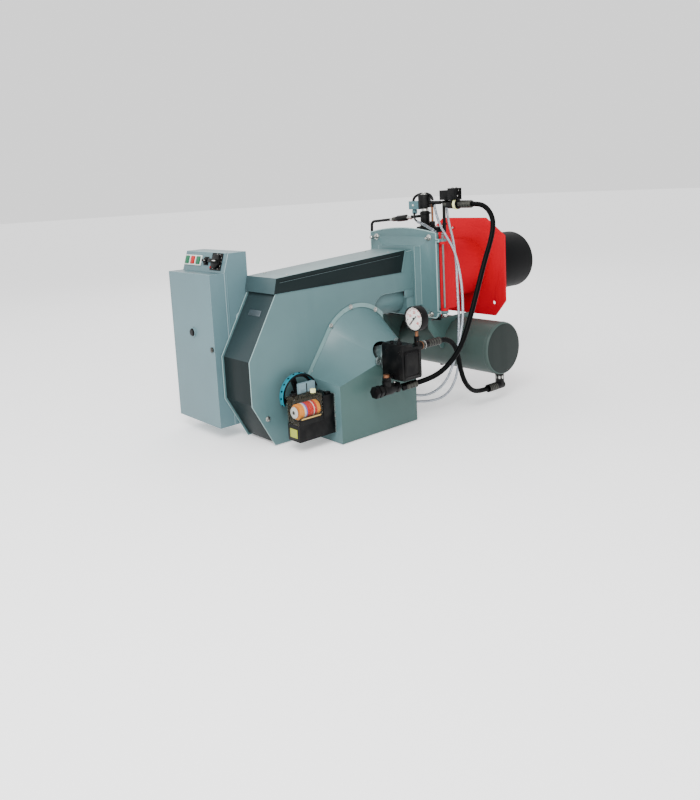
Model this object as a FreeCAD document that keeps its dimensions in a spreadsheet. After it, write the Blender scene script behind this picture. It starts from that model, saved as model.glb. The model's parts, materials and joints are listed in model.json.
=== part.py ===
import FreeCAD, Part
import math
import os
import re
import Sketcher

# Heavy oil burner that hangs on a boiler front.
# The origin is the centre of the blast tube in the boiler's face.
# +X is the firing direction, +Y the far side and +Z up. Sizes are in millimetres.

# Each driving dimension is written once, in the order in which the burner is put together.
SIZES = (
    # Blast tube, mounting plate and wind box
    ("tube_radius", 109.5),
    ("tube_wall", 4),
    ("tube_reach", 270),
    ("tube_seat", 4),
    ("rope_groove", 8.5),
    ("plate_thick", 8),
    ("plate_half", 187),
    ("plate_top", 181),
    ("plate_bottom", 178),
    ("shoulder_run", 84),
    ("shoulder_drop", 64),
    ("toe_run", 47),
    ("toe_rise", 58),
    ("stud_y", 135),
    ("stud_z", 130),
    ("stud_hole", 7),
    ("duct_radius", 104),
    ("duct_wall", 3),
    ("frame_back", 315),
    ("frame_depth", 82),
    ("frame_half", 155),
    ("frame_top", 121),
    ("frame_bottom", 112),
    ("frame_wall", 4),
    ("frame_lip", 20),
    ("rim_top", 21),
    ("rim_bottom", 22),
    ("rim_thick", 4),
    ("clamp_hole", 4.5),
    # Combustion head inside the tube
    ("head_x", 225),
    ("head_radius", 96),
    ("head_thick", 3),
    ("head_slots", 12),
    ("head_slot_width", 8),
    ("head_slot_inner", 38),
    ("head_slot_outer", 84),
    ("head_eye", 24),
    ("lance_radius", 14),
    ("lance_start", 290),
    ("nozzle_reach", 18),
    ("spider_x", 60),
    ("spider_thick", 6),
    ("spider_hub", 42),
    ("electrode_radius", 3),
    ("electrode_y", 18),
    ("electrode_z", 27),
    ("electrode_tail", 40),
    ("spider_arms", 3),
    ("nozzle_tip", 9),
    ("sleeve_grip", 4),
    ("sleeve_length", 26),
    # Hinge at the near side
    ("pin_radius", 6),
    ("pin_out", 16),
    ("lug_radius", 13),
    ("lug_neck", 20),
    ("lug_thick", 8),
    ("lug_gap", 0.4),
    ("pin_clear", 0.06),
    ("nut_radius", 10),
    ("nut_height", 9),
    ("ball_radius", 7),
    ("pin_tail", 4),
    # Swinging flange, seal and collar
    ("seal_gap", 0.4),
    ("seal_thick", 7.6),
    ("flange_thick", 12),
    ("flange_overhang", 4),
    ("flange_top", 150),
    ("flange_crown", 167),
    ("flange_bottom", 137),
    ("flange_corner", 14),
    ("seal_drop", 9),
    ("seal_width", 26),
    ("flare_inset", 9),
    ("flare_top", 138),
    ("flare_bottom", 124),
    ("flare_depth", 8),
    ("ridge_half", 93),
    ("ridge_top", 107),
    ("ridge_bottom", 94),
    ("collar_half", 87),
    ("collar_bottom", 98),
    ("collar_depth", 23),
    ("collar_wall", 9),
    ("throat_half", 70),
    ("throat_top", 84),
    ("throat_bottom", 42),
    ("heel_x", 398),
    ("heel_top", 64),
    ("heel_bottom", 121),
    ("clamp_inset", 27),
    ("clamp_top", 134),
    ("clamp_bottom", 126),
    ("clamp_head", 8),
    ("clamp_spot", 2),
    ("clamp_head_height", 7),
    # Fan housing
    ("sheet", 2.5),
    ("housing_half", 75),
    ("housing_lip", 7),
    ("floor_drop", 435),
    ("toe_x", 973),
    ("rear_x", 1046),
    ("rear_low", 301),
    ("rear_high", 169),
    ("shelf_rear_x", 929),
    ("shelf_rear_z", 57),
    ("shelf_front_z", 94),
    ("step_x", 938),
    ("step_z", 18),
    ("neck_bottom", 40),
    ("throat_x", 498),
    ("throat_radius", 52),
    ("front_x", 516),
    ("front_z", 150),
    ("fan_x", 626),
    ("fan_z", 210),
    ("eye_radius", 72),
    # Top cover
    ("cover_wall", 2),
    ("cap_low_x", 945),
    ("cap_low_z", 17),
    ("cap_top_x", 934),
    ("cap_top_z", 63),
    ("cover_front_x", 397),
    ("cover_front_z", 98),
    ("skirt_front_z", 24),
    ("cover_slant", 21),
    ("cover_drop", 6),
    # Outlet duct under the neck
    ("outlet_half", 62),
    ("outlet_bottom", 118),
    ("outlet_corner", 50),
    ("outlet_start", 538),
    # Air intake hood
    ("hood_left", 833),
    ("hood_right", 516),
    ("hood_depth", 146),
    ("hood_wall", 2.5),
    ("arch_radius", 144),
    ("arch_foot", 250),
    ("brow_foot", 260),
    ("arch_lean", 37),
    ("brow_x", 650),
    ("brow_z", 212),
    ("brow_right", 238),
    ("brow_radius", 150),
    ("hood_lip", 14),
    ("hood_lip_thick", 3),
    # Fan, shaft and motor
    ("fan_radius", 94),
    ("fan_width", 88),
    ("fan_plate", 3),
    ("fan_blades", 16),
    ("blade_inner", 76),
    ("blade_thick", 3),
    ("blade_bend", 34),
    ("blade_sweep", 14),
    ("fan_hub", 26),
    ("fan_hub_length", 40),
    ("fan_gap", 16),
    ("shaft_radius", 12),
    ("shaft_seat", 18),
    ("run_clear", 0.06),
    ("inlet_rim", 12),
    ("inlet_depth", 12),
    ("motor_radius", 86),
    ("motor_fins", 20),
    ("fin_height", 8),
    ("fin_thick", 4),
    ("motor_length", 205),
    ("motor_foot", 102),
    ("motor_foot_thick", 12),
    ("cowl_length", 45),
    ("cowl_radius", 98),
    ("cowl_round", 14),
    ("terminal_width", 84),
    ("terminal_height", 38),
    ("terminal_length", 100),
    # Pump and its bracket
    ("bracket_radius", 45),
    ("bracket_neck", 27),
    ("bracket_wall", 6),
    ("bracket_in", 75),
    ("bracket_out", 147),
    ("bracket_flange", 6),
    ("lobe_out", 52),
    ("lobe_radius", 13),
    ("lobe_hole", 4.5),
    ("lobes", 3),
    ("seat_gap", 0.3),
    ("pump_left", 666),
    ("pump_right", 585),
    ("pump_step_x", 622),
    ("pump_face", 315),
    ("pump_top", 155),
    ("pump_step", 12),
    ("pump_bottom", 265),
    ("pump_corner", 7),
    ("plug_x", 652),
    ("plug_radius", 8),
    ("plug_height", 17),
    ("port_radius", 13),
    ("port_z", 174),
    ("port_y", 290),
    ("port_length", 40),
    ("ferrule_radius", 11.5),
    ("ferrule_length", 70),
    ("feed_ferrule_length", 56),
    ("gauge_x", 606),
    ("gauge_y", 306),
    ("gauge_z", 84),
    ("gauge_radius", 38),
    ("gauge_depth", 28),
    ("gauge_rim", 3),
    ("gauge_recess", 6),
    ("stem_x", 593),
    ("stem_radius", 5),
    ("stem_nut", 8),
    ("stem_nut_height", 14),
    ("needle_rest", 135),
    ("needle_length", 27),
    ("needle_tail", 9),
    ("needle_width", 3),
    ("needle_thick", 1.2),
    ("needle_axle", 3),
    ("needle_gap", 0.6),
    # Pump's outlet valve
    ("valve_out", 26),
    ("valve_cap_out", 52),
    ("valve_end_out", 46),
    ("valve_y", 271),
    ("valve_z", 289),
    ("valve_radius", 19),
    ("valve_neck", 14),
    ("valve_body", 17),
    ("valve_cap_length", 11),
    ("valve_groove", 5),
    ("valve_chest", 18),
    ("valve_end", 12),
    ("valve_nut", 13),
    ("valve_nut_height", 11),
    ("valve_ring", 10),
    ("valve_nut_top", 243),
    ("valve_nut_low", 262),
    # Air servo motor and damper
    ("servo_left", 969),
    ("servo_right", 837),
    ("servo_half", 28),
    ("servo_bottom", 402),
    ("servo_top", 353),
    ("servo_tower_x", 878),
    ("servo_tower_top", 283),
    ("servo_post", 5),
    ("servo_post_half", 10),
    ("lid_right", 880),
    ("lid_top", 273),
    ("lid_wall", 2),
    ("drum_left", 957),
    ("drum_split", 918),
    ("drum_right", 884),
    ("drum_radius", 23),
    ("drum_grooves", 4),
    ("drum_groove_width", 2),
    ("drum_groove_depth", 3),
    ("disc_radius", 19),
    ("disc_waist", 13),
    ("disc_width", 6),
    ("disc_pitch", 12),
    ("discs", 3),
    ("damper_out", 92),
    ("damper_z", 318),
    ("spindle_radius", 5),
    ("blade_half", 48),
    ("damper_thick", 3),
    ("damper_gap", 3),
    ("bracket_sheet", 3.6),
    ("shelf_out", 44),
    ("gear_left", 918),
    ("gear_right", 861),
    ("gear_out", 50),
    ("gear_top", 248),
    ("gear_bottom", 334),
    ("sector_x", 900),
    ("sector_z", 287),
    ("sector_out", 25),
    ("sector_width", 18),
    ("sector_radius", 65),
    ("sector_middle", 108),
    ("sector_band", 6),
    ("sector_spoke", 8),
    ("sector_hub", 12),
    ("sector_first", 15),
    ("sector_last", 200),
    ("stub_radius", 5),
    ("gland_x", 892),
    ("gland_radius", 9),
    ("gland_height", 11),
    # Oil preheater
    ("tank_x", 172),
    ("tank_z", 251),
    ("tank_radius", 90),
    ("tank_near", 305),
    ("tank_far", 255),
    ("tank_edge", 9),
    ("saddle_y", 112),
    ("saddle_thick", 7),
    ("saddle_top", 150),
    ("saddle_front", 110),
    ("saddle_rear_z", 178),
    ("saddle_low_x", 274),
    ("saddle_low_z", 256),
    ("elbow_x", 172),
    ("elbow_y", 284),
    ("elbow_z", 381),
    ("elbow_radius", 13),
    ("elbow_left", 236),
    ("elbow_nut", 15),
    # Nozzle valve group on top of the flange
    ("block_front", 288),
    ("block_near", 159),
    ("block_far", 60),
    ("block_bottom", 152),
    ("block_height", 18),
    ("group_x", 303),
    ("body_y", 83),
    ("body_radius", 16),
    ("body_top", 222),
    ("coil_radius", 22),
    ("coil_bottom", 234),
    ("coil_top", 278),
    ("coil_core", 8),
    ("din_near", 68),
    ("din_far", 21),
    ("din_half", 14),
    ("din_bottom", 229),
    ("din_top", 257),
    ("copper_y", 117),
    ("copper_radius", 4),
    ("socket_radius", 9),
    ("socket_top", 250),
    ("tee_radius", 6),
    ("switch_near", 254),
    ("switch_far", 159),
    ("switch_half", 24),
    ("switch_bottom", 257),
    ("switch_top", 299),
    ("riser_y", 166),
    ("riser_radius", 9),
    ("union_y", 208),
    ("union_radius", 13),
    ("union_z", 243),
    ("union_near", 291),
    ("pipe_radius", 5),
    ("heater_joint_y", 33),
    ("heater_joint_z", 198),
    ("heater_corner_y", 186),
    ("heater_corner_z", 186),
    ("heater_drop_y", 192),
    ("heater_drop_z", 40),
    ("heater_bend_x", 240),
    ("heater_bend_y", 200),
    ("heater_bend_z", 120),
    ("heater_tank_y", 204),
    ("heater_tank_z", 130),
    ("pipe_bend", 16),
    # Hoses and conduits
    ("hose_radius", 8),
    ("conduit_radius", 4.2),
    ("conduit_gland", 8),
    ("conduit_gland_length", 10),
    # Switch cabinet on the far side
    ("spacer_radius", 12),
    ("spacer_x", 968),
    ("spacer_high", 60),
    ("spacer_low", 330),
    ("cabinet_gap", 5),
    ("cabinet_width", 250),
    ("cabinet_right", 929),
    ("cabinet_front", 1012),
    ("cabinet_bottom", 394),
    ("cabinet_sill", 79),
    ("cabinet_top", 138),
    ("console_lean", 18),
    ("cabinet_wall", 2),
    ("door_face", 1064),
    ("door_gap", 0.4),
    ("door_wall", 2),
    ("hinge_out", 4),
    ("knuckle_radius", 3.6),
    ("knuckle_length", 40),
    ("knuckle_inset", 60),
    ("knuckle_pin", 1.8),
    ("leaf_width", 14),
    ("button_in", 120),
    ("button_z", 106),
    ("button_radius", 11),
    ("button_ring", 15),
    ("button_ring_height", 4),
    ("button_out", 9),
    ("lock_in", 13),
    ("lock_z", 149),
    ("lock_radius", 8),
    ("lock_out", 4),
    ("lock_slot", 2),
    ("console_rise", 33),
    ("lamp_in", 159),
    ("lamp_pitch", 34),
    ("lamp_half", 12),
    ("lamp_out", 6),
    ("selector_in", 114),
    ("selector_radius", 11),
    ("selector_out", 14),
    ("main_in", 53),
    ("main_radius", 27),
    ("main_out", 14),
    ("grip_half", 7),
    ("grip_out", 12),
)

# Sizes that follow from others, so that what is fixed to a face moves with that face
FOLLOWING = (
    ("flange_half", "frame_half + flange_overhang"),
    ("flare_half", "frame_half - flare_inset"),
    ("clamp_y", "frame_half - clamp_inset"),
    ("bracket_start", "housing_half + bracket_in"),
    ("bracket_face", "housing_half + bracket_out"),
    ("valve_x", "pump_left + valve_out"),
    ("valve_left", "valve_x + valve_cap_out"),
    ("valve_right", "valve_x - valve_end_out"),
    ("damper_y", "housing_half + damper_out"),
    ("servo_front", "damper_y + servo_half"),
    ("servo_rear", "damper_y - servo_half"),
    ("shelf_y", "housing_half + shelf_out"),
    ("gear_front", "housing_half + gear_out"),
    ("sector_rear", "housing_half + sector_out"),
    ("sector_front", "sector_rear + sector_width"),
    ("cabinet_near", "housing_half + cabinet_gap"),
    ("cabinet_far", "cabinet_near + cabinet_width"),
    ("button_y", "cabinet_near + button_in"),
    ("lock_y", "cabinet_near + lock_in"),
    ("lamp_first", "cabinet_near + lamp_in"),
    ("selector_y", "cabinet_near + selector_in"),
    ("main_y", "cabinet_near + main_in"),
)

document = FreeCAD.newDocument("heavy_oil_burner")
sheet = document.addObject("Spreadsheet::Sheet", "Sizes")
for row, (alias, value) in enumerate(SIZES + FOLLOWING, 1):
    sheet.set(f"A{row}", alias)
    sheet.setAlias(f"B{row}", alias)
    sheet.set(f"B{row}", f"={value}")
document.recompute()

SIZE_NAMES = re.compile(r"\b(" + "|".join(alias for alias, value in SIZES + FOLLOWING) + r")\b")
PIECES = []


def bind(expression):
    """Point the names of sizes in an expression at their cells."""
    return SIZE_NAMES.sub(r"Sizes.\1", str(expression))


def number(expression):
    """Work an expression out from the sheet."""
    return float(sheet.evalExpression(bind(expression)))


def minus(expression):
    return f"-({expression})"


# Outlines, which are drawn on a sketch with every corner bound to its sizes

def polygon(points):
    """Draw a closed outline. A point (x, y, radius, turn) ends an arc, turn being 1 for a left turn."""
    def draw(sketch):
        corners = [FreeCAD.Vector(number(point[0]), number(point[1]), 0) for point in points]
        ends = []
        for index, point in enumerate(points):
            start, end = corners[index - 1], corners[index]
            if len(point) == 2:
                edge = sketch.addGeometry(Part.LineSegment(start, end))
                ends.append((edge, 1, 2))
                continue
            radius = number(point[2])
            chord = end - start
            rise = math.sqrt(radius ** 2 - (chord.Length / 2) ** 2)
            side = FreeCAD.Vector(-chord.y, chord.x, 0).normalize() * point[3]
            centre = start + chord / 2 + side * rise
            first, last = (start, end) if point[3] > 0 else (end, start)
            angles = [math.atan2(corner.y - centre.y, corner.x - centre.x) for corner in (first, last)]
            circle = Part.Circle(centre, FreeCAD.Vector(0, 0, 1), radius)
            edge = sketch.addGeometry(Part.ArcOfCircle(circle, *angles))
            ends.append((edge, 1, 2) if point[3] > 0 else (edge, 2, 1))
            tie(sketch, Sketcher.Constraint("Radius", edge, radius), point[2])
        for index, point in enumerate(points):
            edge, tail, head = ends[index]
            after, after_tail, after_head = ends[(index + 1) % len(points)]
            sketch.addConstraint(Sketcher.Constraint("Coincident", edge, head, after, after_tail))
            fix(sketch, edge, head, point[0], point[1])
    return draw


def circle(x, y, radius):
    """Draw a circle about (x, y)."""
    def draw(sketch):
        centre = FreeCAD.Vector(number(x), number(y), 0)
        edge = sketch.addGeometry(Part.Circle(centre, FreeCAD.Vector(0, 0, 1), number(radius)))
        tie(sketch, Sketcher.Constraint("Radius", edge, number(radius)), radius)
        fix(sketch, edge, 3, x, y)
    return draw


def rectangle(left, low, right, high):
    return polygon([(left, low), (right, low), (right, high), (left, high)])


def hexagon(x, y, radius):
    corners = [(f"{x} + {radius} * cos({60 * step})", f"{y} + {radius} * sin({60 * step})")
        for step in range(6)]
    return polygon(corners)


def mirrored(points, over=()):
    """Add the left half of an outline whose right half runs upwards; over is the arc across the top."""
    left = []
    for point in reversed(points):
        left.append((minus(point[0]), point[1]) + over)
        over = point[2:]
    return points + left


def tie(sketch, constraint, expression):
    sketch.setExpression(f"Constraints[{sketch.addConstraint(constraint)}]", bind(expression))


def fix(sketch, edge, end, x, y):
    tie(sketch, Sketcher.Constraint("DistanceX", -1, 1, edge, end, number(x)), x)
    tie(sketch, Sketcher.Constraint("DistanceY", -1, 1, edge, end, number(y)), y)


# Features of a piece

def piece(label):
    body = document.addObject("PartDesign::Body", label)
    body.Label = label
    PIECES.append(body)
    return body


def sketch_on(body, plane, outlines, height):
    """Draw outlines on one of the body's origin planes, at a height along that plane's normal."""
    sketch = body.newObject("Sketcher::SketchObject", f"{body.Name}_outline")
    support = [feature for feature in body.Origin.OriginFeatures if feature.Role == f"{plane}_Plane"]
    sketch.AttachmentSupport = (support[0], "")
    sketch.MapMode = "FlatFace"
    sketch.setExpression("AttachmentOffset.Base.z", bind(height))
    for draw in outlines:
        draw(sketch)
    return sketch


def extrude(kind, body, plane, outlines, low, high):
    """Pad or pocket outlines from low to high along the axis square to the plane."""
    height = minus(high) if plane == "XZ" else low
    sketch = sketch_on(body, plane, outlines, height)
    feature = body.newObject(f"PartDesign::{kind}", f"{body.Name}_{kind.lower()}")
    feature.Profile = sketch
    feature.setExpression("Length", bind(f"({high}) - ({low})"))
    return feature


def pad(body, plane, outlines, low, high):
    return extrude("Pad", body, plane, outlines, low, high)


def pocket(body, plane, outlines, low, high):
    feature = extrude("Pocket", body, plane, outlines, low, high)
    feature.Reversed = True
    return feature


def turned(body, plane, outline, axis="V_Axis", kind="Revolution"):
    """Turn a half section about an axis of its sketch."""
    sketch = sketch_on(body, plane, [outline], 0)
    feature = body.newObject(f"PartDesign::{kind}", f"{body.Name}_{kind.lower()}")
    feature.Profile = sketch
    feature.ReferenceAxis = (sketch, [axis])
    feature.Angle = 360
    return feature


def loft(body, plane, sections, kind="Additive"):
    """Join outlines at their heights with flat and ruled faces."""
    sketches = [sketch_on(body, plane, [outline], height) for outline, height in sections]
    feature = body.newObject(f"PartDesign::{kind}Loft", f"{body.Name}_loft")
    feature.Profile = (sketches[0], [""])
    feature.Sections = [(sketch, [""]) for sketch in sketches[1:]]
    feature.Ruled = True
    return feature


def repeat(body, feature, axis, count):
    """Repeat a feature evenly about one of the body's own axes."""
    pattern = body.newObject("PartDesign::PolarPattern", f"{body.Name}_pattern")
    pattern.Originals = [feature]
    support = [line for line in body.Origin.OriginFeatures if line.Role == f"{axis}_Axis"]
    pattern.Axis = (support[0], [""])
    pattern.Angle = 360
    pattern.setExpression("Occurrences", bind(count))
    body.Tip = pattern
    return pattern


def round_edges(body, radius, chosen, kind="Fillet"):
    """Round or chamfer the edges of the body that a test picks by their place."""
    document.recompute()
    base = body.Tip
    names = [f"Edge{index + 1}" for index, edge in enumerate(base.Shape.Edges) if chosen(edge)]
    feature = body.newObject(f"PartDesign::{kind}", f"{body.Name}_{kind.lower()}")
    feature.Base = (base, names)
    feature.setExpression("Radius" if kind == "Fillet" else "Size", bind(radius))
    return feature


def place(item, x, y, z, axis=(0, 0, 1), angle=0):
    """Put a piece at its place, turned about an axis through its own origin."""
    item.Placement = FreeCAD.Placement(FreeCAD.Vector(),
        FreeCAD.Rotation(FreeCAD.Vector(*axis), number(angle)))
    for name, value in zip("xyz", (x, y, z)):
        item.setExpression(f"Placement.Base.{name}", bind(value))
    item.setExpression("Placement.Rotation.Angle", bind(angle))


FACING_NEAR = ((1, 0, 0), 90)
FACING_FAR = ((1, 0, 0), -90)
FACING_REAR = ((0, 1, 0), -90)


def pipe(label, radius, route, bend=None):
    """Make a tube along straight runs joined by tangent arcs, and compare its volume with its length."""
    points = [FreeCAD.Vector(*[number(value) for value in point]) for point in route]
    edges = []
    bends = []
    leave = points[0]
    for before, corner, after in zip(points, points[1:], points[2:]):
        back = before - corner
        ahead = after - corner
        half_turn = (math.pi - back.getAngle(ahead)) / 2
        reach = 0.45 * min(back.Length, ahead.Length)
        if bend:
            reach = min(reach, number(bend) * math.tan(half_turn))
        bends.append(reach / math.tan(half_turn))
        back.normalize()
        ahead.normalize()
        entry = corner + back * reach
        depth = bends[-1] / math.cos(half_turn) - bends[-1]
        middle = corner + (back + ahead).normalize() * depth
        edges.append(Part.LineSegment(leave, entry).toShape())
        leave = corner + ahead * reach
        edges.append(Part.Arc(entry, middle, leave).toShape())
    edges.append(Part.LineSegment(leave, points[-1]).toShape())
    path = Part.Wire(edges)
    section = Part.Wire(Part.makeCircle(number(radius), points[0], points[1] - points[0]))
    item = document.addObject("Part::Feature", label)
    item.Label = label
    item.Shape = path.makePipeShell([section], True, False)
    PIECES.append(item)
    share = item.Shape.Volume / (math.pi * number(radius) ** 2 * path.Length)
    print(label, "length", round(path.Length), "radii", [round(value) for value in bends], "volume",
        round(share, 3))
    return item


# Heights and faces that several pieces share

FLANGE_FRONT = "-(frame_back + seal_gap + seal_thick)"
FLANGE_REAR = "-(frame_back + seal_gap + seal_thick + flange_thick)"
NECK_FRONT = "-(frame_back + seal_gap + seal_thick + flange_thick + flare_depth)"
NECK_REAR = "-(frame_back + seal_gap + seal_thick + flange_thick + flare_depth + collar_depth)"
FRAME_FRONT = "-(frame_back - frame_depth)"
PIN_Y = "-(frame_half + pin_out)"
PLATE_INSIDE = "(housing_half - sheet)"


# Mounting plate, blast tube and wind box, which stay on the boiler

def make_mounting_plate():
    body = piece("mounting_plate")
    outline = mirrored([
        ("plate_half - toe_run", "-plate_bottom"),
        ("plate_half", "-plate_bottom + toe_rise"),
        ("plate_half", "plate_top - shoulder_drop"),
        ("plate_half - shoulder_run", "plate_top"),
    ])
    pad(body, "YZ", [polygon(outline)], "-plate_thick", "0")
    studs = [circle(f"{y} * stud_y", f"{z} * stud_z", "stud_hole") for y in (-1, 1) for z in (-1, 1)]
    pocket(body, "YZ", studs + [circle("0", "0", "duct_radius - duct_wall")], "-plate_thick", "0")
    pocket(body, "YZ", [circle("0", "0", "tube_radius + rope_groove")], "-tube_seat", "0")


def make_blast_tube():
    body = piece("blast_tube")
    ring = [circle("0", "0", "tube_radius"), circle("0", "0", "tube_radius - tube_wall")]
    pad(body, "YZ", ring, "-tube_seat", "tube_reach")


def make_windbox_frame():
    body = piece("windbox_frame")
    pan = rectangle("-frame_half", "-frame_bottom", "frame_half", "frame_top")
    pad(body, "YZ", [pan], "-frame_back", FRAME_FRONT)
    pad(body, "YZ", [circle("0", "0", "duct_radius")], FRAME_FRONT, "-plate_thick")
    rim = rectangle("-frame_half", "-(frame_bottom + rim_bottom)", "frame_half", "frame_top + rim_top")
    pad(body, "YZ", [rim], "-frame_back", "-(frame_back - rim_thick)")
    for end, start in ((1, "frame_top - lug_thick"), (-1, "-frame_bottom")):
        eye = circle("-frame_back", PIN_Y, "lug_radius")
        pad(body, "XY", [eye], start, f"{start} + lug_thick")
        neck = rectangle("-frame_back", PIN_Y, "-frame_back + lug_neck", "-frame_half + frame_wall")
        pad(body, "XY", [neck], start, f"{start} + lug_thick")
    inside = rectangle("-(frame_half - frame_wall)", "-(frame_bottom - frame_wall)",
                       "frame_half - frame_wall", "frame_top - frame_wall")
    pocket(body, "YZ", [inside], "-(frame_back - frame_wall)", f"{FRAME_FRONT} - frame_wall")
    mouth = rectangle("-(frame_half - frame_lip)", "-(frame_bottom - frame_lip)",
                      "frame_half - frame_lip", "frame_top - frame_lip")
    pocket(body, "YZ", [mouth], "-frame_back", "-(frame_back - frame_wall)")
    pocket(body, "YZ", [circle("0", "0", "duct_radius - duct_wall")], f"{FRAME_FRONT} - frame_wall",
        "-plate_thick")
    holes = [circle(f"{side} * clamp_y", height, "clamp_hole")
             for side in (-1, 1) for height in ("clamp_top", "-clamp_bottom")]
    pocket(body, "YZ", holes, "-frame_back", "-(frame_back - rim_thick)")
    bore = circle("-frame_back", PIN_Y, "pin_radius + pin_clear")
    pocket(body, "XY", [bore], "-(frame_bottom + lug_thick)", "frame_top + lug_thick")


def make_combustion_head():
    body = piece("diffuser")
    disc = [circle("0", "0", "head_radius"), circle("0", "0", "head_eye + seat_gap")]
    pad(body, "YZ", disc, "head_x", "head_x + head_thick")
    slot = rectangle("head_slot_inner", "-head_slot_width / 2", "head_slot_outer", "head_slot_width / 2")
    cut = pocket(body, "YZ", [slot], "head_x", "head_x + head_thick")
    repeat(body, cut, "X", "head_slots")

    body = piece("nozzle_lance")
    half = [
        ("-lance_start", "0"),
        ("head_x + nozzle_reach", "0"),
        ("head_x + nozzle_reach", "nozzle_tip"),
        ("head_x + head_thick + sleeve_grip", "head_eye"),
        ("head_x - sleeve_length", "head_eye"),
        ("head_x - sleeve_length", "lance_radius"),
        ("-lance_start", "lance_radius"),
    ]
    turned(body, "XZ", polygon(half), "H_Axis")

    body = piece("lance_spider")
    hub = [circle("0", "0", "spider_hub")]
    pad(body, "YZ", hub, "spider_x", "spider_x + spider_thick")
    arm = rectangle("0", "-spider_thick", "tube_radius - tube_wall - seat_gap", "spider_thick")
    spoke = pad(body, "YZ", [arm], "spider_x", "spider_x + spider_thick")
    repeat(body, spoke, "X", "spider_arms")
    pocket(body, "YZ", [circle("0", "0", "lance_radius + seat_gap")], "spider_x", "spider_x + spider_thick")
    rods = [circle(f"{side} * electrode_y", "electrode_z", "electrode_radius") for side in (-1, 1)]
    pad(body, "YZ", rods, "spider_x - electrode_tail", "head_x - seat_gap")


# Hinge, flange and neck

def make_hinge():
    body = piece("hinge_pin")
    low = "-(frame_bottom + lug_gap + lug_thick + nut_height + pin_tail)"
    high = "frame_top + lug_gap + lug_thick + nut_height"
    half = [
        ("0", low),
        ("pin_radius", low),
        ("pin_radius", f"{high} - nut_height + lug_gap"),
        ("nut_radius", f"{high} - nut_height + lug_gap"),
        ("nut_radius", high),
        ("ball_radius", high),
        ("ball_radius", f"{high} + ball_radius"),
        ("0", f"{high} + 2 * ball_radius", "ball_radius", 1),
    ]
    turned(body, "XZ", polygon(half))
    place(body, "-frame_back", PIN_Y, "0")

    body = piece("hinge_nut")
    top = "-(frame_bottom + lug_gap * 2 + lug_thick)"
    ring = [hexagon("0", "0", "nut_radius"), circle("0", "0", "pin_radius + pin_clear")]
    pad(body, "XY", ring, f"{top} - nut_height", top)
    place(body, "-frame_back", PIN_Y, "0")


def make_burner_flange():
    body = piece("burner_flange")
    crown = ("(flange_half^2 + (flange_crown - flange_top)^2) / (2 * (flange_crown - flange_top))", 1)
    outline = mirrored([
        ("flange_half - flange_corner", "-flange_bottom"),
        ("flange_half", "-flange_bottom + flange_corner", "flange_corner", 1),
        ("flange_half", "flange_top"),
    ], crown)
    pad(body, "YZ", [polygon(outline)], FLANGE_REAR, FLANGE_FRONT)
    foot = rectangle("-flare_half", "-flare_bottom", "flare_half", "flare_top")
    ridge = rectangle("-ridge_half", "-ridge_bottom", "ridge_half", "ridge_top")
    loft(body, "YZ", [(foot, FLANGE_REAR), (ridge, NECK_FRONT)])
    collar = rectangle("-collar_half", "-collar_bottom", "collar_half", "ridge_top")
    loft(body, "YZ", [(ridge, NECK_FRONT), (collar, NECK_REAR)])
    heel = polygon([
        (NECK_REAR, "-(neck_bottom + seat_gap)"),
        ("-heel_x", "-heel_top"),
        ("-heel_x", "-heel_bottom"),
        (FLANGE_REAR, "-heel_bottom"),
        (FLANGE_REAR, "-(neck_bottom + seat_gap)"),
    ])
    pad(body, "XZ", [heel], "-housing_half", "housing_half")
    for end, start in ((1, "frame_top + lug_gap"), (-1, "-(frame_bottom + lug_gap + lug_thick)")):
        pad(body, "XY", [circle("-frame_back", PIN_Y, "lug_radius")], start, f"{start} + lug_thick")
        pad(body, "XY", [rectangle(FLANGE_REAR, PIN_Y, FLANGE_FRONT, "-(flange_half - flange_thick)")],
            start, f"{start} + lug_thick")
        pad(body, "XY", [rectangle(FLANGE_REAR, PIN_Y, "-frame_back", f"{PIN_Y} + lug_radius - seal_gap")],
            start, f"{start} + lug_thick")
    bore = circle("-frame_back", PIN_Y, "pin_radius + pin_clear")
    pocket(body, "XY", [bore], "-(frame_bottom + lug_thick * 2)", "frame_top + lug_thick * 2")
    throat_front = rectangle("-(flare_half - collar_wall)", "-(flare_bottom - collar_wall)",
                             "flare_half - collar_wall", "flare_top - collar_wall")
    throat_rear = rectangle("-(ridge_half - collar_wall)", "-(ridge_bottom - collar_wall)",
                            "ridge_half - collar_wall", "ridge_top - collar_wall")
    loft(body, "YZ", [(throat_front, FLANGE_FRONT), (throat_rear, NECK_FRONT)], "Subtractive")
    throat = rectangle("-throat_half", "-throat_bottom", "throat_half", "throat_top")
    pocket(body, "YZ", [throat], NECK_REAR, NECK_FRONT)
    pocket(body, "YZ", [polygon(trough("sheet"))], "-heel_x", FLANGE_REAR)
    holes = [circle(f"{side} * clamp_y", height, "clamp_hole")
             for side in (-1, 1) for height in ("clamp_top", "-clamp_bottom")]
    pocket(body, "YZ", holes, FLANGE_REAR, FLANGE_FRONT)
    spots = [circle(f"{side} * clamp_y", height, "clamp_head + clamp_spot")
             for side in (-1, 1) for height in ("clamp_top", "-clamp_bottom")]
    pocket(body, "YZ", spots, NECK_FRONT, FLANGE_REAR)


def make_seal():
    body = piece("flange_seal")
    outer = rectangle("-(frame_half - seal_gap)", "-(flange_bottom + seal_drop)",
                      "frame_half - seal_gap", "frame_top + rim_top")
    inner = rectangle("-(frame_half - seal_width)", "-(frame_bottom - seal_drop)",
                      "frame_half - seal_width", "frame_top - seal_drop")
    pad(body, "YZ", [outer, inner], FLANGE_FRONT, "-(frame_back + seal_gap)")
    holes = [circle(f"{side} * clamp_y", height, "clamp_hole")
             for side in (-1, 1) for height in ("clamp_top", "-clamp_bottom")]
    pocket(body, "YZ", holes, FLANGE_FRONT, "-(frame_back + seal_gap)")


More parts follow.
